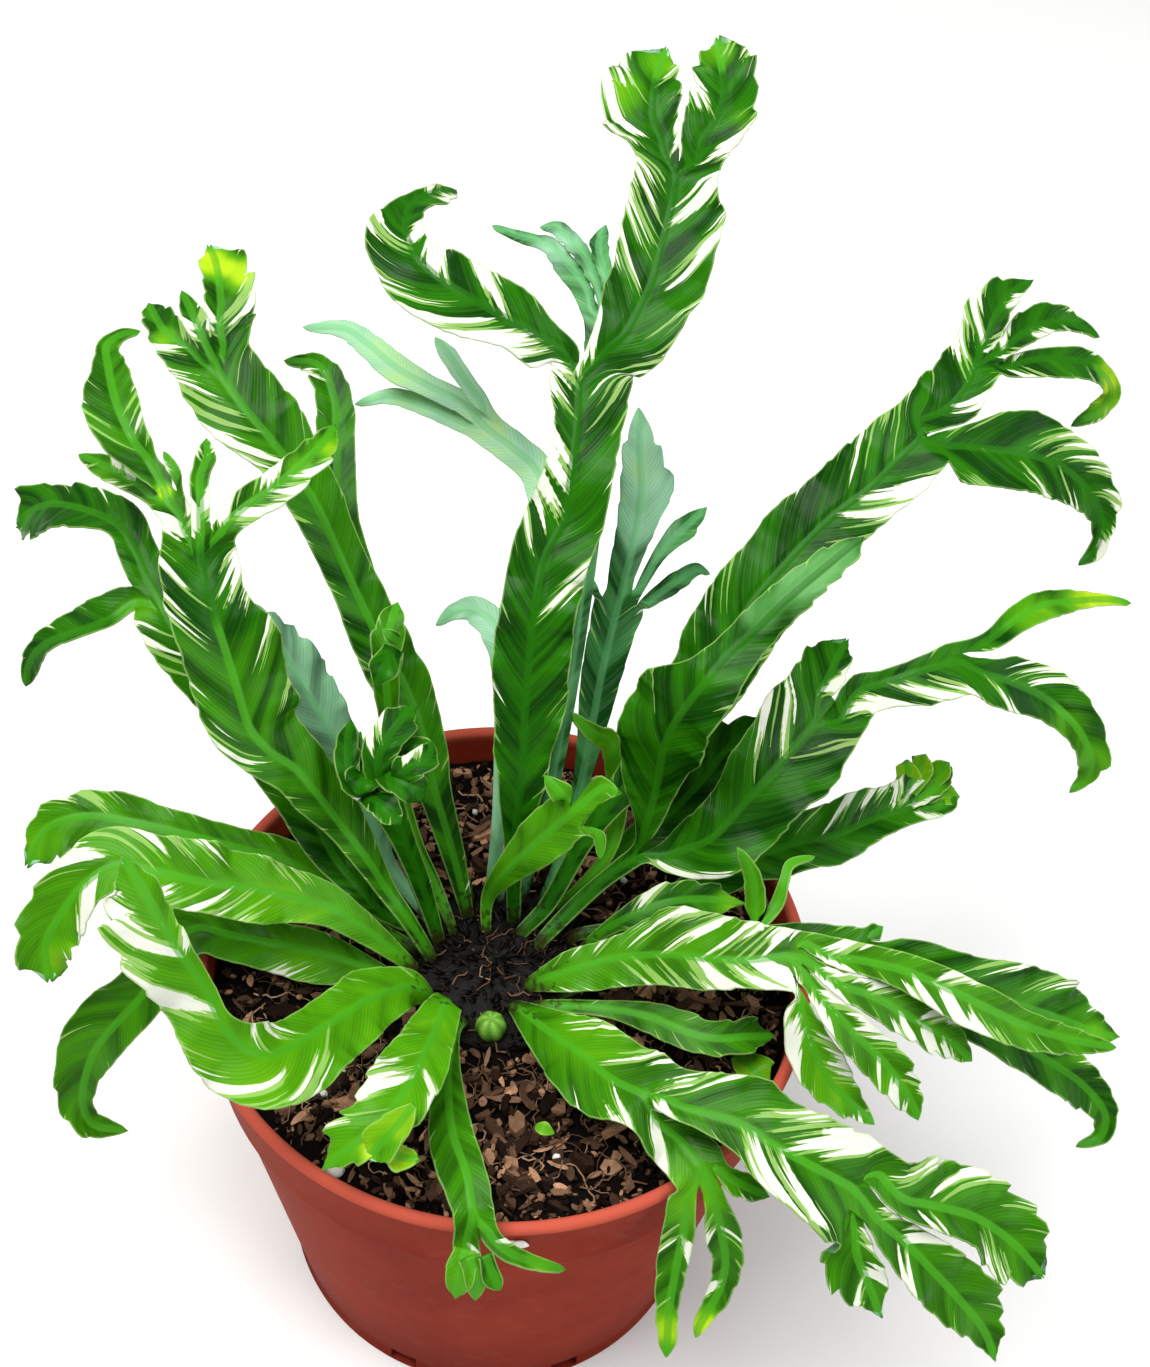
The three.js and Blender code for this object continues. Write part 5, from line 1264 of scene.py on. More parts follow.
def teeth(seed, station, depth):
    """Forward-pointing lobes along a margin.

    Gives how far each row stands out, how far it leans ahead and how far it twists up or down.
    "depth" is the share of the blade's width that a lobe's notch takes, at each row.
    """
    draw = random.Random(seed)
    bounds, heights = [0.0], []
    while bounds[-1] < station[-1]:
        bounds.append(bounds[-1] + draw.uniform(*LOBE_LENGTHS))
        heights.append(draw.uniform(*LOBE_HEIGHTS))
    bounds, heights = np.array(bounds), np.array(heights)
    lobe = np.clip(np.searchsorted(bounds, station, "right") - 1, 0, len(heights) - 1)
    place = (station - bounds[lobe]) / (bounds[lobe + 1] - bounds[lobe])
    rise = np.sin(np.pi / 2 * np.clip(place / LOBE_PEAK, 0, 1))
    fall = 1 - np.clip((place - LOBE_PEAK) / (1 - LOBE_PEAK), 0, 1)
    profile = rise * fall
    stand = 1 + depth * heights[lobe] * (profile - LOBE_MIDDLE)
    turn = np.where(lobe % 2, 1, -1) * heights[lobe] * np.sin(np.pi * place)
    return stand, depth * heights[lobe] * profile, depth * turn


def fringe(seed, place, width, to_end):
    """How far each point near a blunt tip reaches ahead, in pointed fingers across the tip.

    "place" runs from 0 at the left margin to 1 at the right one.
    """
    draw = random.Random(seed)
    count = max(1, round(width / FRINGE_SPACING))
    heights = np.array([draw.uniform(*FINGER_HEIGHTS) for _ in range(count)])
    finger = np.minimum((place * count).astype(int), count - 1)
    across = place * count - finger
    profile = 1 - np.abs(2 * across - 1) ** 1.3
    weight = ease(1 - to_end / FRINGE_ROWS)[:, None]
    reach = FRINGE_REACH * min(width, 2.5 * FRINGE_SPACING)
    bow = FRINGE_BOW * width * (2 * place - 1) ** 2
    return weight * (heights[finger] * profile * reach - bow)


def side_grid(branch, side, halves, station, frill, start):
    """One side of a branch, from the midrib to the margin: how far out, up and ahead each point lies.

    Also gives how far the margin itself lies from the midrib, at each row.
    """
    ripple, bulge, fade = side_waves(branch, side, halves)
    half = halves[:, 0] if side < 0 else halves[:, 1]
    outward = branch.across * side
    reach = clear_reach(branch.rows[:, :3], outward, half * bulge, start["neighbours"], start["ends"])
    tooth_fade = np.clip((halves.mean(1) - TOOTH_WIDTH) / TOOTH_FADE, 0, 1)
    seed = int(branch.seed * 10 + side + 5)
    stand, lean, twist = teeth(seed, station, frill * tooth_fade * branch.jag)
    lateral = half_columns(reach * stand, branch.columns // 2)
    share = lateral / reach[:, None]
    crisp = np.sin(station * 0.93 + branch.seed + side) + np.sin(station * 1.57 + 2 * side)
    lift = CUP * share**1.3 + RUFFLE * ripple[:, None] * share**1.6
    lift = lift + (CRISP * fade * crisp + TWIST * twist)[:, None] * share**2.2
    ahead = LEAN * (lean * reach)[:, None] * share**2
    return (side * lateral, lift * reach[:, None], ahead), reach * stand


def part_for_forks(branch, lateral, lift, reaches):
    """Moves the columns near a branch's end to where its forks start."""
    count = len(branch.rows)
    first = max(0, count - 2 * FINE)
    share = ease((np.arange(count) - first) / (count - 1 - first))[:, None]
    bounds = np.concatenate([[0], np.cumsum([fork.columns for fork in branch.forks])])
    target = np.interp(np.arange(branch.columns + 1), bounds, branch.cuts)
    reach = np.where(target < 0, reaches[0][:, None], reaches[1][:, None])
    wanted = lateral * (1 - share) + target * reach * share
    lift = np.array([np.interp(w, l, h) for w, l, h in zip(wanted, lateral, lift)])
    return wanted, lift


def shape(branch, start):
    """Makes the grid of points of one branch, and where each lies on the blade, in millimetres."""
    rows = branch.rows
    halves = np.maximum(rows[:, 3:5], SMALLEST_HALF)
    length = np.concatenate([[0], np.cumsum(np.linalg.norm(np.diff(rows[:, :3], axis=0), axis=1))])
    station = start["station"] + length
    to_end = length[-1] - length
    if branch.forks:
        frill = MARGIN_LOBES + FORK_LOBES * np.exp(-((to_end / FORK_LOBES_REACH) ** 2))
    else:
        near_tip = np.sqrt(np.clip(1 - (1 - np.clip(to_end / TIP_LENGTH, 0, 1)) ** 2, 0, 1))
        tip_width = halves[-FINE].sum()
        blunt = BLUNT_TIP * branch.jag * float(ease((tip_width - BLUNT_WIDTH) / BLUNT_FADE))
        halves = halves * np.maximum(near_tip, max(SHARP_TIP, blunt))[:, None]
        frill = MARGIN_LOBES + TIP_LOBES * np.exp(-((to_end / TIP_LOBES_REACH) ** 2))
    sides = [side_grid(branch, side, halves, station, frill, start) for side in (-1, 1)]
    (left, left_reach), (right, right_reach) = sides
    reaches = [left_reach, right_reach]
    lateral, lift, ahead = (np.hstack([a[:, ::-1], b[:, 1:]]) for a, b in zip(left, right))
    if branch.forks:
        lateral, lift = part_for_forks(branch, lateral, lift, reaches)
    else:
        place = np.clip((lateral + left_reach[:, None]) / (left_reach + right_reach)[:, None], 0, 1)
        ahead = ahead + blunt * fringe(int(branch.seed * 10 + 3), place, tip_width, to_end)
    offset = branch.across[:, None] * lateral[:, :, None] + branch.face[:, None] * lift[:, :, None]
    offset = offset + branch.along[:, None] * ahead[:, :, None]
    rib = lateral
    edge = np.where(lateral < 0, left_reach[:, None] + lateral, right_reach[:, None] - lateral)
    if start["points"] is not None:
        share = ease(np.arange(len(rows)) / FINE)[:, None]
        offset = offset * share[:, :, None] + (start["points"] - rows[0, :3]) * (1 - share)[:, :, None]
        rib = lateral * share + start["rib"] * (1 - share)
        edge = edge * share + start["edge"] * (1 - share)
    branch.points = rows[:, None, :3] + offset
    branch.rib = rib
    branch.edge = edge
    branch.station = np.repeat(station[:, None], branch.columns + 1, axis=1)
    branch.reaches = reaches


def join_webs(left, right):
    """Joins two neighbouring arms along the web between them, up to where they part."""
    for row in range(1, min(len(left.rows), len(right.rows), WEB_ROWS)):
        apart = right.points[row, 0] - left.points[row, -1]
        way = unit(right.rows[row, :3] - left.rows[row, :3])
        if apart @ way > WEB_OVERLAP or np.linalg.norm(apart) > WEB_REACH:
            return
        middle = left.points[row, -1] + apart / 2
        for branch, side, sign, reach in (
            (left, -1, 1, left.reaches[1][row]),
            (right, 0, -1, right.reaches[0][row]),
        ):
            lateral = (branch.points[row] - branch.rows[row, :3]) @ branch.across[row]
            share = np.clip(sign * lateral / reach, 0, 1)
            branch.points[row] += share[:, None] ** WEB_PULL * (middle - branch.points[row, side])
            branch.edge[row] += WEB_EDGE * share
        right.ids[row, 0] = left.ids[row, -1]


def grow(branch, start, sheet):
    """Adds a branch that is already in shape, and then its forks, to the sheet."""
    sheet["grids"].append(branch)
    if not branch.forks:
        return
    end = branch.rows[-1]
    width = max(end[3], end[4]) * 1.2
    ends = [*start["ends"], (end[:3], branch.along[-1], branch.across[-1], width)]
    column = 0
    for fork in branch.forks:
        others = [middles(other) for other in branch.forks if other is not fork]
        chosen = slice(column, column + fork.columns + 1)
        column += fork.columns
        fork.start = {
            "station": branch.station[-1, 0],
            "points": branch.points[-1, chosen],
            "rib": branch.rib[-1, chosen],
            "edge": branch.edge[-1, chosen],
            "neighbours": np.vstack([start["neighbours"], *others]),
            "ends": ends,
        }
        shape(fork, fork.start)
        number_points(fork, sheet)
        fork.ids[0] = branch.ids[-1, chosen]
    for left, right in zip(branch.forks, branch.forks[1:]):
        join_webs(left, right)
    for fork in branch.forks:
        grow(fork, fork.start, sheet)


def number_points(branch, sheet):
    shape_of_grid = branch.points.shape[:2]
    total = shape_of_grid[0] * shape_of_grid[1]
    branch.ids = np.arange(sheet["size"], sheet["size"] + total).reshape(shape_of_grid)
    branch.slots = branch.ids.copy()
    sheet["size"] += total


def root_in_crown(root):
    """Starts a frond's path a little way down in the crown."""
    first = root.path[0].copy()
    first[0] += (CROWN[0] - first[0]) * ROOT_LEAN
    first[1] -= first[1] * ROOT_LEAN
    first[2] -= ROOT_DEPTH
    root.path.insert(0, first)


def make_sheet(name, root, seed):
    """The whole surface of a blade: a grid of points for each of its branches, numbered in one run."""
    lead = unit(root.path[1][:3] - root.path[0][:3])
    plan(root, None, lead, name in PALE, seed, 0)
    needed_columns(root)
    share_columns(root)
    sheet = {"grids": [], "size": 0}
    start = {
        "station": root.station,
        "points": None,
        "neighbours": np.zeros((0, 3)),
        "ends": [],
    }
    shape(root, start)
    number_points(root, sheet)
    grow(root, start, sheet)
    return sheet


def thickness(rib, edge, station):
    """The blade's thickness: a thin margin, a raised midrib, and a stalk that is thicker at its foot."""
    share = np.clip(np.abs(rib) / np.maximum(np.abs(rib) + edge, 0.5), 0, 1)
    petiole = PETIOLE_THICKNESS * np.exp(-station / PETIOLE_FADE) * (1 - 0.7 * share**2)
    ridge_width = 0.8 + 1.4 * np.exp(-station / 80)
    ridge = RIB_THICKNESS * (0.4 + np.exp(-station / 90)) * np.exp(-((rib / ridge_width) ** 2))
    return MARGIN_THICKNESS + petiole + ridge


def split(quads, right):
    """Cuts quads into triangles along the veins, which lean the other way left of the midrib."""
    a, b, c, d = quads.T
    first = np.stack([a, b, np.where(right, c, d)], axis=1)
    second = np.stack([np.where(right, a, b), c, d], axis=1)
    return np.vstack([first, second])


def white_level(fraction):
    """The noise level that leaves this fraction of a leaf white."""
    fraction = min(max(fraction, 0.004), 0.95)
    return 0.5 - NOISE_SPREAD * math.log(fraction / (1 - fraction))


def look_values(look, places, leaf):
    """At each place on a leaf: the noise level above which it is white, how young it is, and a seed.

    A white area runs along the veins, from the midrib to the margin, on its own side of the midrib.
    """
    white, young, whites, golds, seed = look
    rib, station, _ = leaf.T
    vein = station - VEIN_SLOPE * np.abs(rib) - VEIN_CURVE * rib**2
    slant = np.hypot(1, VEIN_SLOPE + 2 * VEIN_CURVE * np.abs(rib))
    plain = min(white_level(white), PLAIN_LEVEL)
    level = np.full(len(places), plain)
    for *middle, radius, strength in whites:
        far = np.linalg.norm(places - np.array(middle), axis=1)
        nearest = np.argmin(far)
        band = ease(1.5 - np.abs(vein - vein[nearest]) / ((BAND_WIDTH * radius + 1) * slant))
        same_side = rib * np.sign(rib[nearest]) > -0.2
        share = band * same_side * ease(2 - far / (2 * radius + 5))
        level = np.minimum(level, plain + share * (white_level(PATCH_STRENGTH * strength) - plain))
    age = np.full(len(places), float(young))
    for *middle, radius, strength in golds:
        age += strength * ease(1.3 - np.linalg.norm(places - np.array(middle), axis=1) / (1.6 * radius))
    return np.stack([level, np.clip(age, -1, 1.2), np.full(len(places), seed)], axis=1)


def gather(sheet):
    """A sheet's points, its quads of points, and the same quads by the slots that look values are kept in.

    Also gives the place of each slot, and its distance from the midrib, station and distance from the
    margin. Branches share the points where they meet, and each keeps slots of its own for them.
    """
    points, places, leaf = (np.zeros((sheet["size"], 3)) for _ in range(3))
    quads, slots = [], []
    for branch in sheet["grids"]:
        points[branch.ids] = branch.points
        places[branch.slots] = branch.points
        leaf[branch.slots, 0] = branch.rib
        leaf[branch.slots, 1] = branch.station
        leaf[branch.slots, 2] = branch.edge
        for grid, found in ((branch.ids, quads), (branch.slots, slots)):
            corners = (grid[:-1, :-1], grid[:-1, 1:], grid[1:, 1:], grid[1:, :-1])
            found.append(np.stack([corner.ravel() for corner in corners], axis=1))
    return points, places, leaf, np.vstack(quads), np.vstack(slots)


def thicken(points, leaf, quads):
    """The points of a blade's two sides, half its thickness out from its middle sheet."""
    diagonal_a = points[quads[:, 2]] - points[quads[:, 0]]
    diagonal_b = points[quads[:, 3]] - points[quads[:, 1]]
    normals = np.zeros_like(points)
    for corner in range(4):
        np.add.at(normals, quads[:, corner], np.cross(diagonal_a, diagonal_b))
    rib, station, edge = leaf.T
    offset = unit(normals) * (thickness(rib, edge, station)[:, None] / 2)
    return np.vstack([points + offset, points - offset])


def rim_walls(quads, slots, count):
    """Quads that join the two sides of a blade along its open rim, and their slots."""
    edges = np.vstack([quads[:, [i, (i + 1) % 4]] for i in range(4)])
    edge_slots = np.vstack([slots[:, [i, (i + 1) % 4]] for i in range(4)])
    keys = edges[:, 0] * count + edges[:, 1]
    open_edge = ~np.isin(edges[:, 1] * count + edges[:, 0], keys)
    rim, rim_slots = edges[open_edge], edge_slots[open_edge]
    walls = np.stack([rim[:, 0], rim[:, 0] + count, rim[:, 1] + count, rim[:, 1]], axis=1)
    return walls, rim_slots[:, [0, 0, 1, 1]]


def sheet_mesh(name, sheet, look):
    """A closed blade with its face in the first material, and its underside in the second."""
    points, places, leaf, quads, slots = gather(sheet)
    used, quads = np.unique(quads, return_inverse=True)
    quads = quads.reshape(-1, 4)
    count = len(used)
    vertices = thicken(points[used], leaf[used], quads)
    walls, wall_slots = rim_walls(quads, slots, count)
    everywhere = np.ones(len(walls), bool)
    walls, wall_slots = split(walls, everywhere), split(wall_slots, everywhere)
    right = leaf[slots, 0].sum(1) > 0
    quads, slots = split(quads, right), split(slots, right)
    faces = np.vstack([quads, quads[:, ::-1] + count, walls])
    corner_slots = np.vstack([slots, slots[:, ::-1], wall_slots]).ravel()
    mesh = bpy.data.meshes.new(name)
    mesh.from_pydata((vertices * MM).tolist(), [], faces.tolist())
    mesh.polygons.foreach_set("use_smooth", np.ones(len(faces), bool))
    parts = np.concatenate([np.zeros(len(quads)), np.ones(len(quads)), np.zeros(len(walls))])
    mesh.polygons.foreach_set("material_index", parts.astype(np.int32))
    for label, values in (("leaf", leaf), ("look", look_values(look, places, leaf))):
        attribute = mesh.attributes.new(label, "FLOAT_VECTOR", "CORNER")
        attribute.data.foreach_set("vector", values[corner_slots].astype(np.float32).ravel())
    mesh.update()
    return mesh


class Shader:
    """Builds a node material. Each method adds a node and returns the socket that it makes."""

    def __init__(self, name, roughness, specular):
        self.material = bpy.data.materials.new(name)
        self.material.use_nodes = True
        self.tree = self.material.node_tree
        self.surface = self.tree.nodes["Principled BSDF"]
        self.surface.inputs["Roughness"].default_value = roughness
        self.surface.inputs["Specular IOR Level"].default_value = specular

    def fill(self, node, name, value):
        """Links a socket to an input, or sets the input to a plain value."""
        target = node.inputs[name]
        if isinstance(value, bpy.types.NodeSocket):
            self.tree.links.new(value, target)
        elif isinstance(value, tuple) and len(value) == 3 and target.type == "RGBA":
            target.default_value = (*value, 1)
        else:
            target.default_value = value

    def sums(self, operation, *values):
        node = self.tree.nodes.new("ShaderNodeMath")
        node.operation = operation
        for i, value in enumerate(values):
            self.fill(node, i, value)
        return node.outputs[0]

    def add(self, a, b):
        return self.sums("ADD", a, b)

    def times(self, a, b):
        return self.sums("MULTIPLY", a, b)

    def step(self, value, low, high):
        """Eases from 0 at "low" to 1 at "high"."""
        node = self.tree.nodes.new("ShaderNodeMapRange")
        node.interpolation_type = "SMOOTHSTEP"
        for name, given in (("Value", value), ("From Min", low), ("From Max", high)):
            self.fill(node, name, given)
        return node.outputs["Result"]

    def fall(self, value, low, high):
        """Eases from 1 at "low" to 0 at "high"."""
        return self.sums("SUBTRACT", 1, self.step(value, low, high))

    def mix(self, share, a, b):
        node = self.tree.nodes.new("ShaderNodeMix")
        node.data_type = "RGBA"
        self.fill(node, 0, share)
        self.fill(node, 6, a)
        self.fill(node, 7, b)
        return node.outputs[2]

    def stain(self, tint, share, strength, colour):
        """Mixes in a colour, at the given strength where "share" is 1."""
        return self.mix(self.times(share, strength), tint, colour)

    def vector(self, x, y, z):
        node = self.tree.nodes.new("ShaderNodeCombineXYZ")
        for i, value in enumerate((x, y, z)):
            self.fill(node, i, value)
        return node.outputs[0]

    def parts(self, vector):
        node = self.tree.nodes.new("ShaderNodeSeparateXYZ")
        self.fill(node, 0, vector)
        return node.outputs

    def attribute(self, name):
        node = self.tree.nodes.new("ShaderNodeAttribute")
        node.attribute_name = name
        return node.outputs

    def place(self):
        return self.tree.nodes.new("ShaderNodeTexCoord").outputs["Object"]

    def noise(self, vector, scale, detail=2, roughness=0.5):
        node = self.tree.nodes.new("ShaderNodeTexNoise")
        self.fill(node, "Vector", vector)
        self.fill(node, "Scale", scale)
        self.fill(node, "Detail", detail)
        self.fill(node, "Roughness", roughness)
        return node.outputs["Fac"]

    def bump(self, height, distance):
        """Bumps the surface: "distance" is how many millimetres a height of 1 stands out."""
        node = self.tree.nodes.new("ShaderNodeBump")
        self.fill(node, "Height", height)
        self.fill(node, "Distance", distance * MM)
        self.fill(node, "Strength", 1)
        self.fill(self.surface, "Normal", node.outputs["Normal"])

    def colour(self, value):
        self.fill(self.surface, "Base Color", value)

    def rough(self, value):
        self.fill(self.surface, "Roughness", value)


def leaf_lines(shader):
    """Sockets shared by both sides of a leaf, by name.

    They say how far a place is from the midrib ("away"), on which side, how far along the midrib
    ("station"), how far from the margin ("edge") and on which vein, and give the frond's own look.
    """
    rib, station, edge = shader.parts(shader.attribute("leaf")["Vector"])
    level, young, seed = shader.parts(shader.attribute("look")["Vector"])
    away = shader.sums("ABSOLUTE", rib)
    side = shader.times(shader.sums("GREATER_THAN", rib, 0), SIDE_SHIFT)
    curve = shader.times(shader.times(away, away), VEIN_CURVE)
    vein = shader.sums("SUBTRACT", station, shader.add(shader.times(away, VEIN_SLOPE), curve))
    return {
        "away": away,
        "side": side,
        "station": station,
        "edge": edge,
        "vein": vein,
        "level": level,
        "young": young,
        "seed": seed,
    }


def streaks(shader, lines, period, reach, shift, detail, roughness):
    """Noise that is drawn out along the veins: "period" across them and "reach" along them."""
    x = shader.times(lines["vein"], 1 / period)
    y = shader.add(shader.times(lines["away"], 1 / reach), lines["side"])
    z = shader.add(shader.times(lines["seed"], SEED_SHIFT), shift)
    return shader.noise(shader.vector(x, y, z), 1, detail, roughness)


def vein_wave(shader, lines):
    """A wave across the veins, between -1 and 1."""
    return shader.sums("SINE", shader.times(lines["vein"], 2 * math.pi / VEIN_SPACING))


def leaf_tint(shader, lines, dark, mid, light):
    """The greens of a leaf, from its age and from painted shade along the veins, which stands in for the
    shade of its ripples.
    """
    # Painted shade of the ripples: it chooses between dark and mid green, and nudges the age.
    shade = streaks(shader, lines, *RIPPLE_SHADE_STREAKS)
    tint = shader.mix(shader.step(shade, 0.36, 0.62), dark, mid)
    age = shader.add(lines["young"], shader.times(shader.add(shade, -0.5), 0.6))
    tint = shader.mix(shader.step(age, 0.05, 0.75), tint, light)
    wave = vein_wave(shader, lines)
    between = shader.times(shader.step(lines["away"], 1, 3), 0.2)
    tint = shader.stain(tint, shader.step(wave, 0, 1), between, dark)
    # Thin lines of painted light along the vein folds.
    fold_light = streaks(shader, lines, *VEIN_FOLD_LIGHT_STREAKS)
    tint = shader.stain(tint, shader.step(fold_light, 0.45, 0.7), 0.12, light)
    # Pale blue-green where the age is below zero: the paler side of a fold, and a painted sheen.
    tint = shader.stain(tint, shader.fall(age, -0.6, -0.1), 0.8, FOLD_AND_SHEEN_PALE)
    return shader.mix(shader.step(age, 0.6, 1.4), tint, GOLD_GREEN)


def leaf_white(shader, lines, tint, strength):
    """Adds white streaks, each with a thin light green border, and light green flecks."""
    half_width = shader.add(shader.add(lines["away"], lines["edge"]), 0.5)
    share = shader.sums("DIVIDE", lines["away"], half_width)
    level = shader.add(lines["level"], shader.times(shader.add(share, -0.65), -0.16))
    broad = shader.times(streaks(shader, lines, *BROAD_STREAKS), BROAD_SHARE)
    thin = shader.times(streaks(shader, lines, *THIN_STREAKS), 1 - BROAD_SHARE)
    streak = shader.add(broad, thin)
    over = shader.sums("SUBTRACT", streak, level)
    speck = streaks(shader, lines, *FLECK_STREAKS)
    fleck = shader.sums("SUBTRACT", speck, shader.add(level, -0.022))
    tint = shader.stain(tint, shader.step(fleck, -0.004, 0.012), 0.65, PALE_LINE)
    tint = shader.stain(tint, shader.step(over, -0.022, -0.01), 0.45, PALE_LINE)
    return shader.stain(tint, shader.step(over, -0.006, 0.004), strength, CREAM)


def leaf_veins(shader, lines, pleats, fine):
    """Bumps along the veins: broad pleats and fine ridges, with their heights in millimetres."""
    fade = shader.step(lines["away"], 0.8, 3)
    vein = shader.times(vein_wave(shader, lines), -fine)
    pleat = shader.times(streaks(shader, lines, *PLEAT_STREAKS), pleats)
    dimple = shader.times(shader.noise(shader.place(), DIMPLE_SCALE, 1), DIMPLE_DEPTH)
    shader.bump(shader.add(shader.times(shader.add(vein, pleat), fade), dimple), 1)


def leaf_foot(shader, lines, tint):
    """Turns a leaf's stalk brown where it leaves the crown, with brown flecks a little above."""
    fleck = shader.noise(shader.place(), FOOT_FLECK_SCALE)
    far = shader.sums("DIVIDE", lines["station"], FOOT_FLECK_REACH)
    reach = shader.add(far, shader.times(fleck, 0.9))
    tint = shader.stain(tint, shader.fall(reach, 0.6, 0.72), 0.75, PETIOLE_BROWN)
    return shader.mix(shader.fall(lines["station"], 9, 22), tint, PETIOLE_BROWN)


def leaf_face():
    shader = Shader("leaf_face", 0.3, 0.075)
    lines = leaf_lines(shader)
    tint = leaf_tint(shader, lines, DARK_GREEN, MID_GREEN, LIGHT_GREEN)
    tint = leaf_white(shader, lines, tint, 1)
    tint = shader.stain(tint, shader.fall(lines["edge"], 0.15, 0.5), 0.45, PALE_LINE)
    rib_tint = shader.mix(shader.step(lines["young"], 0, 0.3), RIB_GREEN, RIB_LIGHT)
    tint = shader.stain(tint, shader.fall(lines["away"], 0.8, 1.4), 0.7, rib_tint)
    shader.colour(leaf_foot(shader, lines, tint))
    leaf_veins(shader, lines, 0.65, 0.012)
    return shader.material


def leaf_back():
    shader = Shader("leaf_back", 0.36, 0.14)
    lines = leaf_lines(shader)
    tint = leaf_tint(shader, lines, BACK_DARK, BACK_GREEN, BACK_PALE)
    tint = leaf_white(shader, lines, tint, 0.8)
    tint = shader.stain(tint, shader.fall(lines["away"], 0.7, 1.4), 0.5, RIB_PALE)
    shader.colour(leaf_foot(shader, lines, tint))
    leaf_veins(shader, lines, 0.4, 0.01)
    return shader.material


def add_piece(name, mesh, node, slot, *materials):
    """Puts a mesh in the scene, in place of a node of the model if one is named."""
    for material in materials:
        mesh.materials.append(material)
    piece = bpy.data.objects.new(name, mesh)
    bpy.context.scene.collection.objects.link(piece)
    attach(piece, "root")
    if node:
        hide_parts(node)


def make_fronds():
    face = leaf_face()
    back = leaf_back()
    for i, (name, (look, root)) in enumerate(FRILLS.items()):
        root.station = FRILL_STATION
        root.jag = FRILL_JAG
        sheet = make_sheet(name, root, 7 * (i + 1))
        mesh = sheet_mesh(name, sheet, (*look, i + 0.5))
        add_piece(mesh.name, mesh, None, "frond_green", face, back)
    for i, (name, root) in enumerate(FRONDS.items()):
        root_in_crown(root)
        sheet = make_sheet(name, root, 10 * (i + 1))
        mesh = sheet_mesh(name.replace("frond", "leaf"), sheet, (*LOOKS[name], i))
        slot = "frond_pale" if name in PALE else "frond_green"
        add_piece(mesh.name, mesh, name, slot, face, back)


# Pot, in millimetres: the outside from the foot ring up, and the inside back down.
POT_SIDES = 240
POT_OUTSIDE = [
    (0, 0), (13.6, 0), (14, 0.4), (14.5, 4.5), (56, 4.5), (57, 1), (64, 0.8), (64.4, 0.4), (64.8, 0),
    (67.5, 0), (68, 0.5), (67.9, 3), (67.6, 4.5), (68.4, 9.6), (70, 19.8), (84.4, 111.8),
    (84.5, 112.4), (84.7, 113.2), (85.6, 113.4),
    (86, 114), (86.1, 115), (88.3, 137.6), (88.6, 138.6), (89.5, 139.3),
]
POT_INSIDE = [
    (86.4, 140), (86.1, 138.5), (84.2, 115), (83.9, 113.6), (82.9, 112.4), (66.2, 8.5), (65.4, 7.2),
    (60, 6.5), (0, 6.5),
]
LIP_MIDDLE = (88.1, 140.1)
LIP_RADIUS = (1.85, 1.9)
LIP_ANGLES = range(-10, 200, 18)
SLOTS = 8
SLOT_BOX = (17, 9, 6.6)
SLOT_PLACE = (63.5, 4.2)
POT_RED = (0.2, 0.02, 0.009)
POT_LIGHT = (0.25, 0.03, 0.014)
POT_DARK = (0.1, 0.012, 0.007)
POT_DUST = (0.26, 0.08, 0.05)
# Painted highlight: the lighter colour laid on the top of the lip.
POT_LIP_HIGHLIGHT = (0.46, 0.085, 0.052)
FOOT_SHADE = (2, 50)
# Heights between which the painted highlight of the lip is laid on.
LIP_HIGHLIGHT_HEIGHTS = (138.5, 140.5)

# Soil and crown, in millimetres, and how many small shapes lie on them.
SOIL_TOP = 131.5
SOIL_EDGE = 84.6
SOIL_SIDES = 216
SOIL_RINGS = 56
SOIL_FOOT = 7
SOIL_WALL = [(83.4, 116), (82.2, 112), (65.5, 9), (59, SOIL_FOOT)]
CROWN_RADIUS = 29
CROWN_TOP = 139
CROWN_SIDES = 96
CROWN_RINGS = 22
CROWN_FOOT = 114
CROWN_FOOT_RADIUS = 25
PIT_RADIUS = 29.4
PIT_FOOT = 113.6
PIT_FOOT_RADIUS = 25.4
CHIPS = 2300
CHIPS_INNER = 30.5
CHIPS_OUTER = 83.4
CHIPS_WALL = 83.8
CHIP_LENGTHS = (1.2, 3.6)
LONG_CHIP_EVERY = 4
LONG_CHIP_LENGTHS = (3.5, 9)
EDGE_CHIPS = 420
EDGE_CHIPS_INNER = 75
FLAKES = 520
FLAKES_REACH = (31, 80)
FLAKE_LENGTHS = (3, 8)
FLAKE_WIDTHS = (1, 2.6)
BROAD_FLAKE_EVERY = 9
BROAD_FLAKES_REACH = (36, 74)
BROAD_FLAKE_LENGTHS = (9, 14)
BROAD_FLAKE_WIDTHS = (4, 7)
ROOTS = 430
ROOTS_REACH = (32, 76)
ROOT_RADII = (0.1, 0.34)
ROOT_POINTS = (7, 16)
ROOT_STEP = 1.7
ROOT_LIMITS = (31, 81)
FEWEST_ROOT_POINTS = 4
FIBRE_SIDES = 5
SCALES = 430
SCALE_LENGTHS = (2.5, 6)
SCALE_WIDTHS = (0.5, 1.3)
CROWN_FIBRES = 46
CROWN_FIBRES_REACH = (4, 27)
CROWN_FIBRE_RADII = (0.1, 0.3)
CROWN_FIBRE_STEP = 1.5
PETAL_PLACE = (6.6, -87.9, 132)
PETAL_SIZE = (3.2, 0.6, 2)
SMALL_GRAINS = 26
SMALL_GRAINS_REACH = (32, 78)
SMALL_GRAIN_RADII = (0.5, 1.2)
GRAIN_RISE = 0.5
GRAIN_SQUASH = (1, 1, 0.8)

# The larger perlite grains: the pixel of the photo that shows each, and its radius.
PERLITE = [
    (565, 945, 3.2), (550, 955, 2.4), (498, 848, 2.6), (445, 805, 2.2), (335, 1168, 2.6),
    (765, 897, 2.4),
]

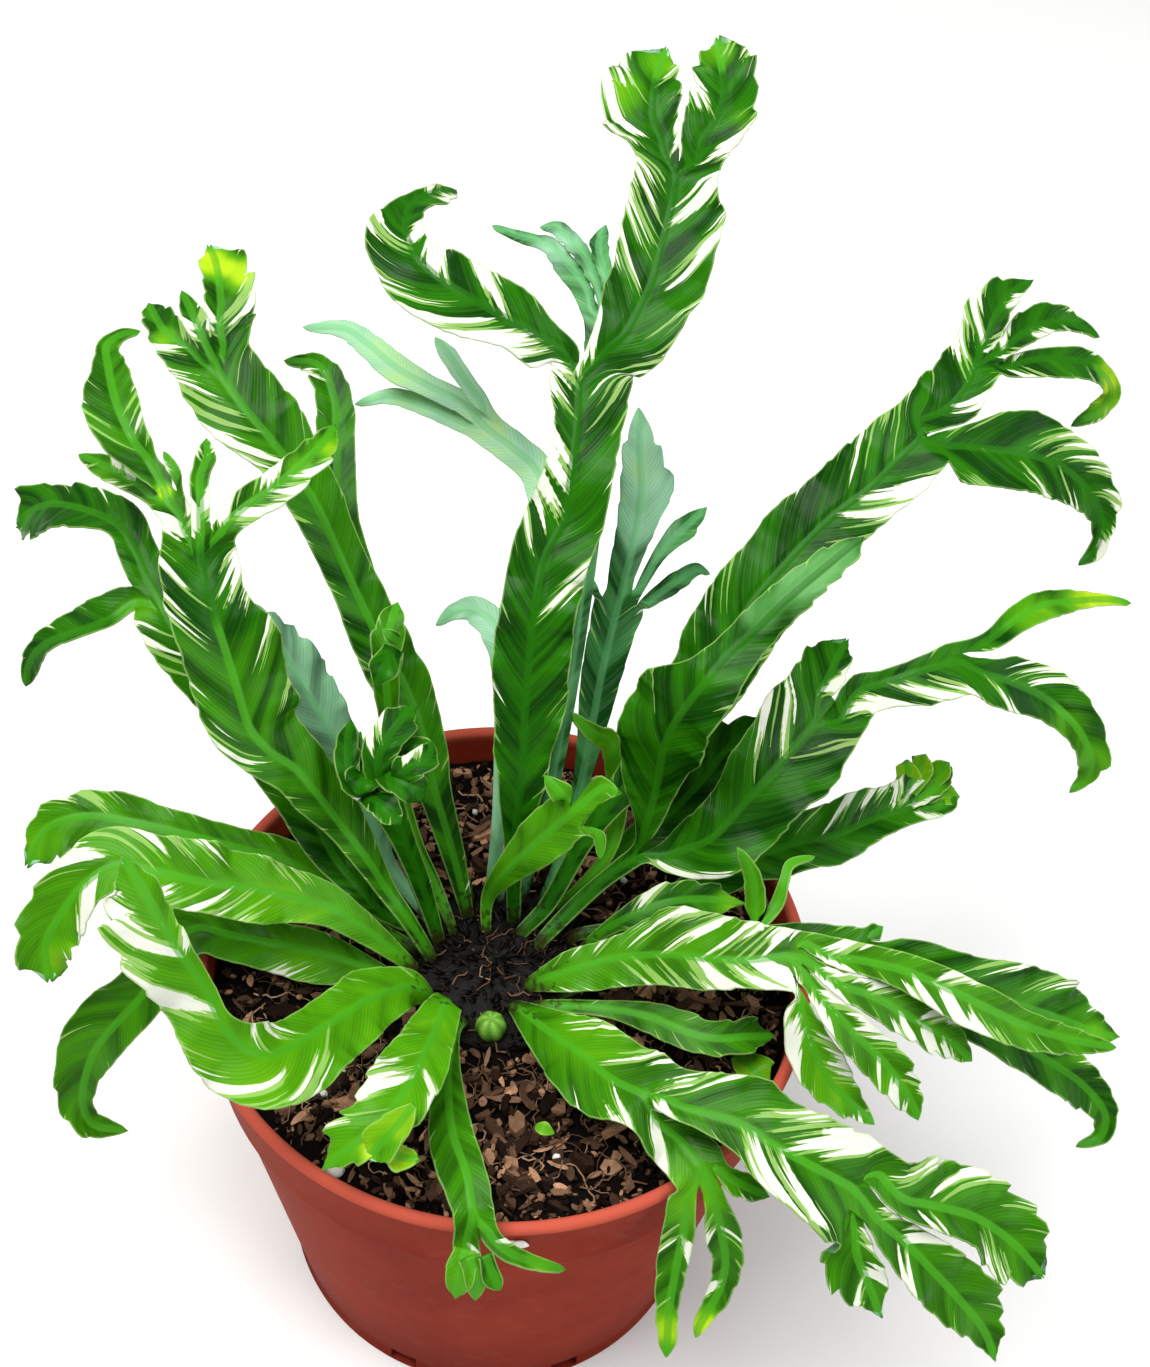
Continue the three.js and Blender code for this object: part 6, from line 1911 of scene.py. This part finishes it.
# Colours of the soil, the crown and what lies on them.
# The soil under the chips is near black: dark earth, with the shade in the gaps between the chips painted
# in.
SOIL_DARK = (0.003, 0.002, 0.0015)
SOIL_LIGHT = (0.016, 0.009, 0.007)
CHIP_DARK = (0.006, 0.003, 0.002)
CHIP_LIGHT = (0.52, 0.28, 0.16)
ROOT_DARK = (0.09, 0.048, 0.026)
ROOT_LIGHT = (0.52, 0.33, 0.2)
CROWN_DARK = (0.002, 0.0015, 0.001)
CROWN_LIGHT = (0.02, 0.012, 0.008)
GRAIN_DARK = (0.55, 0.52, 0.47)
GRAIN_LIGHT = (0.85, 0.84, 0.8)


class Heap:
    """Gathers small shapes into one mesh. A shape's number shades its material."""

    def __init__(self):
        self.points = []
        self.faces = []
        self.shades = []
        self.size = 0

    def put(self, points, faces, shade):
        points = np.asarray(points, float)
        self.points.append(points)
        self.shades.append(np.full(len(points), shade))
        self.faces += [tuple(corner + self.size for corner in face) for face in faces]
        self.size += len(points)

    def mesh(self, name, smooth=True):
        mesh = bpy.data.meshes.new(name)
        mesh.from_pydata((np.vstack(self.points) * MM).tolist(), [], self.faces)
        mesh.polygons.foreach_set("use_smooth", np.full(len(mesh.polygons), smooth))
        shade = mesh.attributes.new("shade", "FLOAT", "POINT")
        shade.data.foreach_set("value", np.concatenate(self.shades).astype(np.float32))
        mesh.update()
        return mesh


def bumpiness(place, size, seed=0):
    """Smooth noise between about -1 and 1, with bumps of the given size."""
    return noise.noise(Vector((place[0] / size + seed * 7.3, place[1] / size, place[2] / size + seed * 3.1)))


def turning(heading, tilt, roll):
    """Turns a shape about its own length, then tilts it, then turns it about the upright."""
    tilted = Matrix.Rotation(heading, 3, "Z") @ Matrix.Rotation(tilt, 3, "Y")
    return np.array(tilted @ Matrix.Rotation(roll, 3, "X"))


def turns(count):
    """Angles that are evenly spread over a whole turn."""
    return 2 * np.pi * np.arange(count) / count


def circle(middle, radius, height, angles):
    """Points around a level circle."""
    return [(middle[0] + radius * math.cos(a), middle[1] + radius * math.sin(a), height) for a in angles]


def ring_faces(rings, sides):
    """Faces that join each ring of points to the next, and the end rings to points 0 and 1.

    The rings' own points come after those two.
    """
    faces = []
    last = 2 + (rings - 1) * sides
    for side in range(sides):
        after = (side + 1) % sides
        faces.append((0, 2 + side, 2 + after))
        for low in range(2, last, sides):
            high = low + sides
            faces.append((low + side, high + side, high + after, low + after))
        faces.append((1, last + after, last + side))
    return faces


def lathe(profile, sides):
    """Points and faces of a solid of revolution. The profile starts and ends on the axis."""
    points = [(0, 0, profile[0][1]), (0, 0, profile[-1][1])]
    for radius, height in profile[1:-1]:
        points += circle((0, 0), radius, height, turns(sides))
    flipped = [(face[0], *face[:0:-1]) for face in ring_faces(len(profile) - 2, sides)]
    return points, flipped


def lip_profile():
    """The rolled lip: radius and height around its middle, from the outside over the top."""
    angles = [math.radians(a) for a in LIP_ANGLES]
    return [
        (LIP_MIDDLE[0] + LIP_RADIUS[0] * math.cos(a), LIP_MIDDLE[1] + LIP_RADIUS[1] * math.sin(a))
        for a in angles
    ]


def box_mesh(name, size, place, heading):
    """A box with its middle at a distance from the pot's axis and a height, turned about the axis."""
    long, wide, high = (side / 2 for side in size)
    corners = [(x, y, z) for x in (-long, long) for y in (-wide, wide) for z in (-high, high)]
    faces = [(0, 1, 3, 2), (4, 6, 7, 5), (0, 4, 5, 1), (2, 3, 7, 6), (0, 2, 6, 4), (1, 5, 7, 3)]
    mesh = bpy.data.meshes.new(name)
    turn = Matrix.Rotation(heading, 3, "Z")
    middle = Vector((place[0], 0, place[1]))
    places = [turn @ (Vector(corner) + middle) * MM for corner in corners]
    mesh.from_pydata(places, [], faces)
    return mesh


def cut_away(mesh, cutters):
    """The mesh with other closed meshes cut out of it."""
    solid = bpy.data.objects.new("solid", mesh)
    bpy.context.scene.collection.objects.link(solid)
    tools = []
    for cutter in cutters:
        tool = bpy.data.objects.new("tool", cutter)
        bpy.context.scene.collection.objects.link(tool)
        modifier = solid.modifiers.new("cut", "BOOLEAN")
        modifier.operation = "DIFFERENCE"
        modifier.object = tool
        tools.append(tool)
    bpy.context.view_layer.update()
    result = bpy.data.meshes.new_from_object(solid.evaluated_get(bpy.context.evaluated_depsgraph_get()))
    for unused in (solid, *tools):
        bpy.data.objects.remove(unused)
    return result


def pot_plastic():
    """Red plastic that is darker towards its foot, with a little dust, and a highlight painted on its lip.
    """
    shader = Shader("pot_plastic", 0.42, 0.006)
    place = shader.place()
    height = shader.parts(place)["Z"]
    cloud = shader.noise(place, 28, 3, 0.6)
    fine = shader.noise(place, 700, 3, 0.6)
    dust = shader.noise(place, 160, 4, 0.7)
    tint = shader.mix(shader.step(cloud, 0.3, 0.7), POT_RED, POT_LIGHT)
    tint = shader.stain(tint, shader.fall(height, *(h * MM for h in FOOT_SHADE)), 0.35, POT_DARK)
    tint = shader.stain(tint, shader.step(dust, 0.5, 0.75), 0.25, POT_DUST)
    # The top of the lip is lighter: a painted highlight.
    tint = shader.stain(tint, shader.step(height, *(h * MM for h in LIP_HIGHLIGHT_HEIGHTS)), 0.85, POT_LIP_HIGHLIGHT)
    shader.colour(tint)
    shader.rough(shader.add(shader.times(fine, 0.14), shader.add(shader.times(cloud, 0.1), 0.32)))
    shader.bump(shader.add(shader.times(fine, 0.05), shader.times(cloud, 0.3)), 1)
    return shader.material


def make_pot():
    points, faces = lathe([*POT_OUTSIDE, *lip_profile(), *POT_INSIDE], POT_SIDES)
    mesh = bpy.data.meshes.new("nursery_pot")
    mesh.from_pydata((np.array(points) * MM).tolist(), [], faces)
    headings = [2 * math.pi * (i + 0.5) / SLOTS for i in range(SLOTS)]
    mesh = cut_away(mesh, [box_mesh("slot", SLOT_BOX, SLOT_PLACE, heading) for heading in headings])
    mesh.name = "nursery_pot"
    mesh.shade_smooth()
    mesh.set_sharp_from_angle(angle=math.radians(40))
    mesh.materials.clear()
    add_piece("nursery_pot", mesh, "pot", "pot_plastic", pot_plastic())


def soil_height(x, y):
    """The height of the soil's top, which sinks a little towards the pot's wall."""
    far = math.hypot(x, y)
    height = SOIL_TOP + 1.1 * bumpiness((x, y, 0), 16) + 0.8 * bumpiness((x, y, 5), 6)
    height += 0.5 * bumpiness((x, y, 9), 2.4)
    return height + 1.2 * max(0, 1 - far / 60) - 1.2 * max(0, (far - 76) / 9)


def soil_body():
    """The soil's fine top, with the pit for the crown, and its plain sides and foot in the pot."""
    angles = turns(SOIL_SIDES)
    points = [(*CROWN, PIT_FOOT), (0, 0, SOIL_FOOT), *circle(CROWN, PIT_FOOT_RADIUS, PIT_FOOT, angles)]
    for i in range(SOIL_RINGS + 1):
        share = i / SOIL_RINGS
        radius = PIT_RADIUS + (SOIL_EDGE - PIT_RADIUS) * share
        middle = (CROWN[0] * (1 - share), CROWN[1] * (1 - share))
        points += [(x, y, soil_height(x, y)) for x, y, _ in circle(middle, radius, 0, angles)]
    for radius, height in SOIL_WALL:
        points += circle((0, 0), radius, height, angles)
    return points, ring_faces(SOIL_RINGS + 2 + len(SOIL_WALL), SOIL_SIDES)


def free_place(draw, inner, outer):
    """A random place on the soil between two distances from the crown's middle."""
    angle = draw.uniform(0, 2 * math.pi)
    far = math.sqrt(draw.uniform(inner**2, outer**2))
    return CROWN[0] * (1 - far / outer) + far * math.cos(angle), far * math.sin(angle)


def chip(draw, length, width, height):
    """An angular lump with six sides, and a jagged top and foot."""
    angles = [math.radians(60 * i + draw.uniform(-18, 18)) for i in range(6)]
    points = []
    for level in (-0.5, 0.5):
        for a in angles:
            grow = draw.uniform(0.7, 1.1)
            z = level + draw.uniform(-0.22, 0.22)
            points.append((grow * math.cos(a) * length / 2, grow * math.sin(a) * width / 2, z * height))
    faces = [(0, 5, 4, 3), (0, 3, 2, 1), (6, 7, 8, 9), (6, 9, 10, 11)]
    faces += [(i, (i + 1) % 6, 6 + (i + 1) % 6, 6 + i) for i in range(6)]
    return np.array(points), faces


def flake(long, wide, curl):
    """A thin leaf flake with narrow ends, curled along its length."""
    points = []
    for level in (-0.15, 0.15):
        for i in range(5):
            along = i / 4 - 0.5
            half = wide / 2 * math.sqrt(max(0.08, 1 - (1.9 * along) ** 2))
            height = curl * along * along * long + level
            points += [(along * long, -half, height), (along * long, half, height)]
    faces = []
    for a in range(0, 8, 2):
        faces += [(a, a + 1, a + 3, a + 2), (a + 10, a + 12, a + 13, a + 11)]
        faces += [(a, a + 2, a + 12, a + 10), (a + 1, a + 11, a + 13, a + 3)]
    faces += [(0, 10, 11, 1), (8, 9, 19, 18)]
    return np.array(points), faces


def add_chips(heap, draw):
    """Bark chips that lie one on another, with a few long ones, and more of them along the pot's wall."""
    for i in range(CHIPS + EDGE_CHIPS):
        by_wall = i >= CHIPS
        x, y = free_place(draw, EDGE_CHIPS_INNER if by_wall else CHIPS_INNER, CHIPS_OUTER)
        is_long = i % LONG_CHIP_EVERY == 0 and not by_wall
        long = draw.uniform(*(LONG_CHIP_LENGTHS if is_long else CHIP_LENGTHS))
        wide = long * draw.uniform(0.35, 0.75)
        high = min(wide, draw.uniform(0.8, 2.6))
        points, faces = chip(draw, long, wide, high)
        turn = turning(draw.uniform(0, 6.3), draw.gauss(0, 0.28), draw.gauss(0, 0.35))
        if math.hypot(x, y) + long / 2 > CHIPS_WALL:
            continue
        z = soil_height(x, y) + draw.uniform(-0.2, 1) * high
        heap.put(points @ turn.T + (x, y, z), faces, draw.random())


def add_flakes(heap, draw):
    """Leaf flakes that lie on the chips, with a few broad ones."""
    for i in range(FLAKES):
        x, y = free_place(draw, *FLAKES_REACH)
        long, wide = draw.uniform(*FLAKE_LENGTHS), draw.uniform(*FLAKE_WIDTHS)
        if i % BROAD_FLAKE_EVERY == 0:
            x, y = free_place(draw, *BROAD_FLAKES_REACH)
            long, wide = draw.uniform(*BROAD_FLAKE_LENGTHS), draw.uniform(*BROAD_FLAKE_WIDTHS)
        points, faces = flake(long, wide, draw.uniform(-0.25, 0.25))
        turn = turning(draw.uniform(0, 6.3), draw.gauss(0, 0.2), draw.gauss(0, 0.4))
        z = soil_height(x, y) + draw.uniform(0.6, 1.8)
        heap.put(points @ turn.T + (x, y, z), faces, draw.uniform(0.3, 1))


def soil_litter(draw):
    """The bark chips and leaf flakes that lie on the soil."""
    heap = Heap()
    add_chips(heap, draw)
    add_flakes(heap, draw)
    return heap


def tube(path, radius, sides):
    """A tube around a path, closed to a point at both ends."""
    path = np.array(path, float)
    along = unit(np.gradient(path, axis=0))
    across = unit(np.cross(along, np.array([0.31, 0.17, 1])))
    up = np.cross(across, along)
    points = [path[0] - along[0] * radius, path[-1] + along[-1] * radius]
    for place, a, b in zip(path, across, up):
        for side in range(sides):
            angle = 2 * math.pi * side / sides
            points.append(place + radius * (math.cos(angle) * a + math.sin(angle) * b))
    return points, ring_faces(len(path), sides)


def soil_roots(draw):
    """Fine tan roots that wander over the soil, and end where they come to the crown or the wall."""
    heap = Heap()
    for _ in range(ROOTS):
        x, y = free_place(draw, *ROOTS_REACH)
        heading = draw.uniform(0, 2 * math.pi)
        radius = draw.uniform(*ROOT_RADII)
        path = []
        for _ in range(draw.randint(*ROOT_POINTS)):
            if not ROOT_LIMITS[0] < math.hypot(x, y) < ROOT_LIMITS[1]:
                break
            path.append((x, y, soil_height(x, y) + draw.uniform(0.6, 1.7)))
            heading += draw.gauss(0, 0.6)
            x += ROOT_STEP * math.cos(heading)
            y += ROOT_STEP * math.sin(heading)
        if len(path) >= FEWEST_ROOT_POINTS:
            heap.put(*tube(path, radius, FIBRE_SIDES), draw.random())
    return heap


def lump(draw, radius, steps=10):
    """A rounded, uneven grain."""
    angles = [math.pi * i / steps for i in range(steps + 1)]
    points, faces = lathe([(radius * math.sin(a), -radius * math.cos(a)) for a in angles], steps + 4)
    seed = draw.uniform(0, 50)
    points = np.array(points)
    broad = np.array([bumpiness(point, radius * 0.8, seed) for point in points])
    fine = np.array([bumpiness(point, radius * 0.3, seed) for point in points])
    return points * (1 + 0.3 * broad + 0.12 * fine)[:, None], faces


def on_soil(x_pixel, y_pixel):
    """The place just over the soil's top that a pixel of the photo shows."""
    camera = bpy.context.scene.camera
    across = (x_pixel - PHOTO_WIDTH / 2) / FOCAL_PIXELS
    up = (PHOTO_HEIGHT / 2 - y_pixel) / FOCAL_PIXELS
    way = camera.matrix_world.to_3x3() @ Vector((across, up, -1))
    start = camera.matrix_world.translation / MM
    return start + way * ((SOIL_TOP + 1 - start.z) / way.z)


def bark_material(name, dark, light, detail_scale, roughness=0.75, specular=0.05):
    """A rough material, from dark to light by each shape's shade and a fine grain."""
    shader = Shader(name, roughness, specular)
    fine = shader.noise(shader.place(), detail_scale, 5, 0.7)
    own = shader.sums("POWER", shader.attribute("shade")["Fac"], 3.4)
    share = shader.times(own, shader.add(shader.times(shader.step(fine, 0.42, 0.75), 0.5), 0.7))
    shader.colour(shader.mix(share, dark, light))
    shader.bump(fine, 0.6)
    return shader.material


def add_soil(mesh, node, *look):
    """Adds a piece of the soil, with a bark-like material of its own."""
    add_piece(mesh.name, mesh, node, "potting_soil", bark_material(*look))


def soil_grains(draw):
    """The perlite grains, of which the larger ones lie where the photo shows them, and a fallen petal."""
    heap = Heap()
    for x_pixel, y_pixel, radius in PERLITE:
        x, y, _ = on_soil(x_pixel, y_pixel)
        points, faces = lump(draw, radius)
        place = (x, y, soil_height(x, y) + radius * GRAIN_RISE)
        heap.put(points * GRAIN_SQUASH + place, faces, draw.random())
    petal, faces = lump(draw, 1)
    heap.put(petal * PETAL_SIZE + PETAL_PLACE, faces, 1)
    for _ in range(SMALL_GRAINS):
        x, y = free_place(draw, *SMALL_GRAINS_REACH)
        points, faces = lump(draw, draw.uniform(*SMALL_GRAIN_RADII), 6)
        heap.put(points + (x, y, soil_height(x, y) + 1), faces, draw.random())
    return heap


def make_soil():
    draw = random.Random(4)
    body = Heap()
    body.put(*soil_body(), 0.2)
    add_soil(body.mesh("soil_body"), "soil", "soil", SOIL_DARK, SOIL_LIGHT, 900)
    litter = soil_litter(draw)
    add_soil(litter.mesh("soil_litter", False), None, "bark", CHIP_DARK, CHIP_LIGHT, 500)
    roots = soil_roots(draw)
    add_soil(roots.mesh("soil_roots"), None, "root", ROOT_DARK, ROOT_LIGHT, 600)
    grains = soil_grains(draw)
    add_soil(grains.mesh("soil_grains"), None, "grain", GRAIN_DARK, GRAIN_LIGHT, 700)


def crown_height(x, y):
    """The height of the crown's uneven dome."""
    far = math.hypot(x - CROWN[0], y - CROWN[1]) / CROWN_RADIUS
    return CROWN_TOP - 6.5 * far**2.2 + 1.0 * bumpiness((x, y, 0), 5, 3) + 0.6 * bumpiness((x, y, 0), 2, 5)


def crown_body():
    """The crown's dome and its foot, which stands in the soil's pit."""
    angles = turns(CROWN_SIDES)
    points = [(*CROWN, crown_height(*CROWN)), (*CROWN, CROWN_FOOT)]
    for ring in range(1, CROWN_RINGS + 1):
        radius = CROWN_RADIUS * ring / CROWN_RINGS
        points += [(x, y, crown_height(x, y)) for x, y, _ in circle(CROWN, radius, 0, angles)]
    points += circle(CROWN, CROWN_FOOT_RADIUS, CROWN_FOOT, angles)
    return points, ring_faces(CROWN_RINGS + 1, CROWN_SIDES)


def from_crown(angle, far):
    """The place at an angle and a distance from the crown's middle."""
    return CROWN[0] + far * math.cos(angle), CROWN[1] + far * math.sin(angle)


def scale(long, wide):
    """A pointed scale with a keel along its middle."""
    middle = long * 0.6
    points = [
        (0, -wide, -0.2), (0, wide, -0.2), (0, 0, 0.5), (middle, -wide * 0.7, 0), (middle, wide * 0.7, 0),
        (middle, 0, 0.5), (long, 0, 0.1),
    ]
    faces = [(0, 1, 4, 3), (0, 3, 5, 2), (1, 2, 5, 4), (3, 4, 6), (3, 6, 5), (4, 5, 6), (0, 2, 1)]
    return np.array(points), faces


def crown_fibres(draw):
    """Fine tan roots that wander over the crown."""
    heap = Heap()
    for _ in range(CROWN_FIBRES):
        angle, far = draw.uniform(0, 2 * math.pi), draw.uniform(*CROWN_FIBRES_REACH)
        heading = angle + draw.gauss(0, 1)
        path = []
        for step in range(draw.randint(3, 6)):
            x, y = from_crown(angle, far)
            x += CROWN_FIBRE_STEP * step * math.cos(heading)
            y += CROWN_FIBRE_STEP * step * math.sin(heading)
            path.append((x, y, crown_height(x, y) + draw.uniform(0.4, 1.6)))
            heading += draw.gauss(0, 0.3)
        heap.put(*tube(path, draw.uniform(*CROWN_FIBRE_RADII), FIBRE_SIDES), draw.random())
    return heap


def make_crown():
    draw = random.Random(8)
    heap = Heap()
    heap.put(*crown_body(), 0.1)
    for _ in range(SCALES):
        angle = draw.uniform(0, 2 * math.pi)
        x, y = from_crown(angle, CROWN_RADIUS * math.sqrt(draw.uniform(0, 0.97)))
        points, faces = scale(draw.uniform(*SCALE_LENGTHS), draw.uniform(*SCALE_WIDTHS))
        lean = draw.uniform(0.15, 0.9)
        turn = turning(angle + draw.gauss(0, 0.5), -lean, draw.gauss(0, 0.5))
        heap.put(points @ turn.T + (x, y, crown_height(x, y) - 0.5), faces, draw.random())
    material = bark_material("scales", CROWN_DARK, CROWN_LIGHT, 700, 0.3, 0.15)
    add_piece("crown_heart", heap.mesh("crown_heart"), "crown", "crown_scales", material)
    fibres = crown_fibres(draw)
    material = bark_material("fibres", ROOT_DARK, ROOT_LIGHT, 600)
    add_piece("crown_fibres", fibres.mesh("crown_fibres"), None, "crown_scales", material)


# Bud, in millimetres: its ball on a short stalk, drawn from the lowest angle of the ball to its top.
BUD_PLACE = (-3, -24, 137)
BUD_RADIUS = 4.4
BUD_RIBS = 6
BUD_SIDES = 88
BUD_STEPS = 36
BUD_ARC = (-72, 90)
BUD_STALK = [(0, -10), (1.4, -10), (1.5, -5)]
BUD_DARK = (0.03, 0.12, 0.01)
BUD_LIGHT = (0.16, 0.36, 0.04)
BUD_SPECK = (0.12, 0.07, 0.03)


def bud_material():
    shader = Shader("bud", 0.38, 0.12)
    shade = shader.attribute("shade")["Fac"]
    speck = shader.step(shader.noise(shader.place(), 900, 3, 0.6), 0.55, 0.7)
    tint = shader.mix(shade, BUD_DARK, BUD_LIGHT)
    shader.colour(shader.stain(tint, speck, 0.4, BUD_SPECK))
    shader.bump(shader.noise(shader.place(), 1500), 0.2)
    return shader.material


def make_bud():
    """A round crozier with ribs that run up to its top."""
    first, last = BUD_ARC
    angles = [math.radians(first + (last - first) * i / BUD_STEPS) for i in range(BUD_STEPS)]
    ball = [(BUD_RADIUS * math.cos(angle), BUD_RADIUS * math.sin(angle)) for angle in angles]
    points, faces = lathe([*BUD_STALK, *ball, (0, BUD_RADIUS)], BUD_SIDES)
    points = np.array(points)
    turn = np.arctan2(points[:, 1], points[:, 0]) + 0.06 * points[:, 2]
    rib = np.cos(turn * BUD_RIBS)
    far = np.hypot(points[:, 0], points[:, 1]) / BUD_RADIUS
    depth = 0.022 * rib * np.clip(far * 1.6, 0, 1) * (points[:, 2] > -4)
    points[:, :2] *= (1 + depth)[:, None]
    points[:, 2] -= 0.8 * np.exp(-((far / 0.25) ** 2)) * (points[:, 2] > 0)
    heap = Heap()
    heap.put(points + BUD_PLACE, faces, 0.5)
    heap.shades = [np.clip(0.4 + 0.3 * rib + 0.25 * points[:, 2] / BUD_RADIUS, 0, 1)]
    add_piece("crozier_bud", heap.mesh("crozier_bud"), "bud", "bud_green", bud_material())


# Floor, sky and lights, in metres and watts.
FLOOR_REACH = 3
FLOOR_DARK = (0.78, 0.78, 0.775)
FLOOR_LIGHT = (0.81, 0.81, 0.805)
SKY_STRENGTH = 0.38
KEY_PLACE = (-0.65, -0.1, 2)
KEY_AIM = (0, 0.15, 0)
KEY_SIZE = 1.4
KEY_POWER = 60
KEY_COLOUR = (1, 0.98, 0.96)
FILL_PLACE = (1.1, -0.5, 1.1)
FILL_AIM = (0.1, 0, 0.1)
FILL_SIZE = 1.2
FILL_POWER = 15
FILL_COLOUR = (0.95, 0.98, 1)


def make_floor():
    mesh = bpy.data.meshes.new("floor")
    corners = [(x * FLOOR_REACH, y * FLOOR_REACH, 0) for x, y in ((-1, -1), (1, -1), (1, 1), (-1, 1))]
    mesh.from_pydata(corners, [], [(0, 1, 2, 3)])
    shader = Shader("floor", 0.9, 0.1)
    shader.colour(shader.mix(shader.noise(shader.place(), 4), FLOOR_DARK, FLOOR_LIGHT))
    mesh.materials.append(shader.material)
    floor = bpy.data.objects.new("floor", mesh)
    bpy.context.scene.collection.objects.link(floor)


def add_light(name, place, aim, size, power, colour):
    data = bpy.data.lights.new(name, "AREA")
    data.size = size
    data.energy = power
    data.color = colour
    light = bpy.data.objects.new(name, data)
    light.location = place
    light.rotation_euler = (Vector(aim) - Vector(place)).to_track_quat("-Z", "Y").to_euler()
    bpy.context.scene.collection.objects.link(light)


def light_scene():
    world = bpy.data.worlds.new("studio")
    world.use_nodes = True
    background = world.node_tree.nodes["Background"]
    background.inputs["Color"].default_value = (1, 1, 1, 1)
    background.inputs["Strength"].default_value = SKY_STRENGTH
    bpy.context.scene.world = world
    add_light("key", KEY_PLACE, KEY_AIM, KEY_SIZE, KEY_POWER, KEY_COLOUR)
    add_light("fill", FILL_PLACE, FILL_AIM, FILL_SIZE, FILL_POWER, FILL_COLOUR)
    bpy.context.scene.view_settings.view_transform = "Standard"


def write_sizes():
    """Defines a helper that rounds a box's corners, and does nothing else."""
    def plain(box):
        return [[round(value, 5) for value in corner] for corner in box]


make_pot()
make_soil()
make_crown()
make_bud()
make_fronds()
make_floor()
light_scene()
write_sizes()
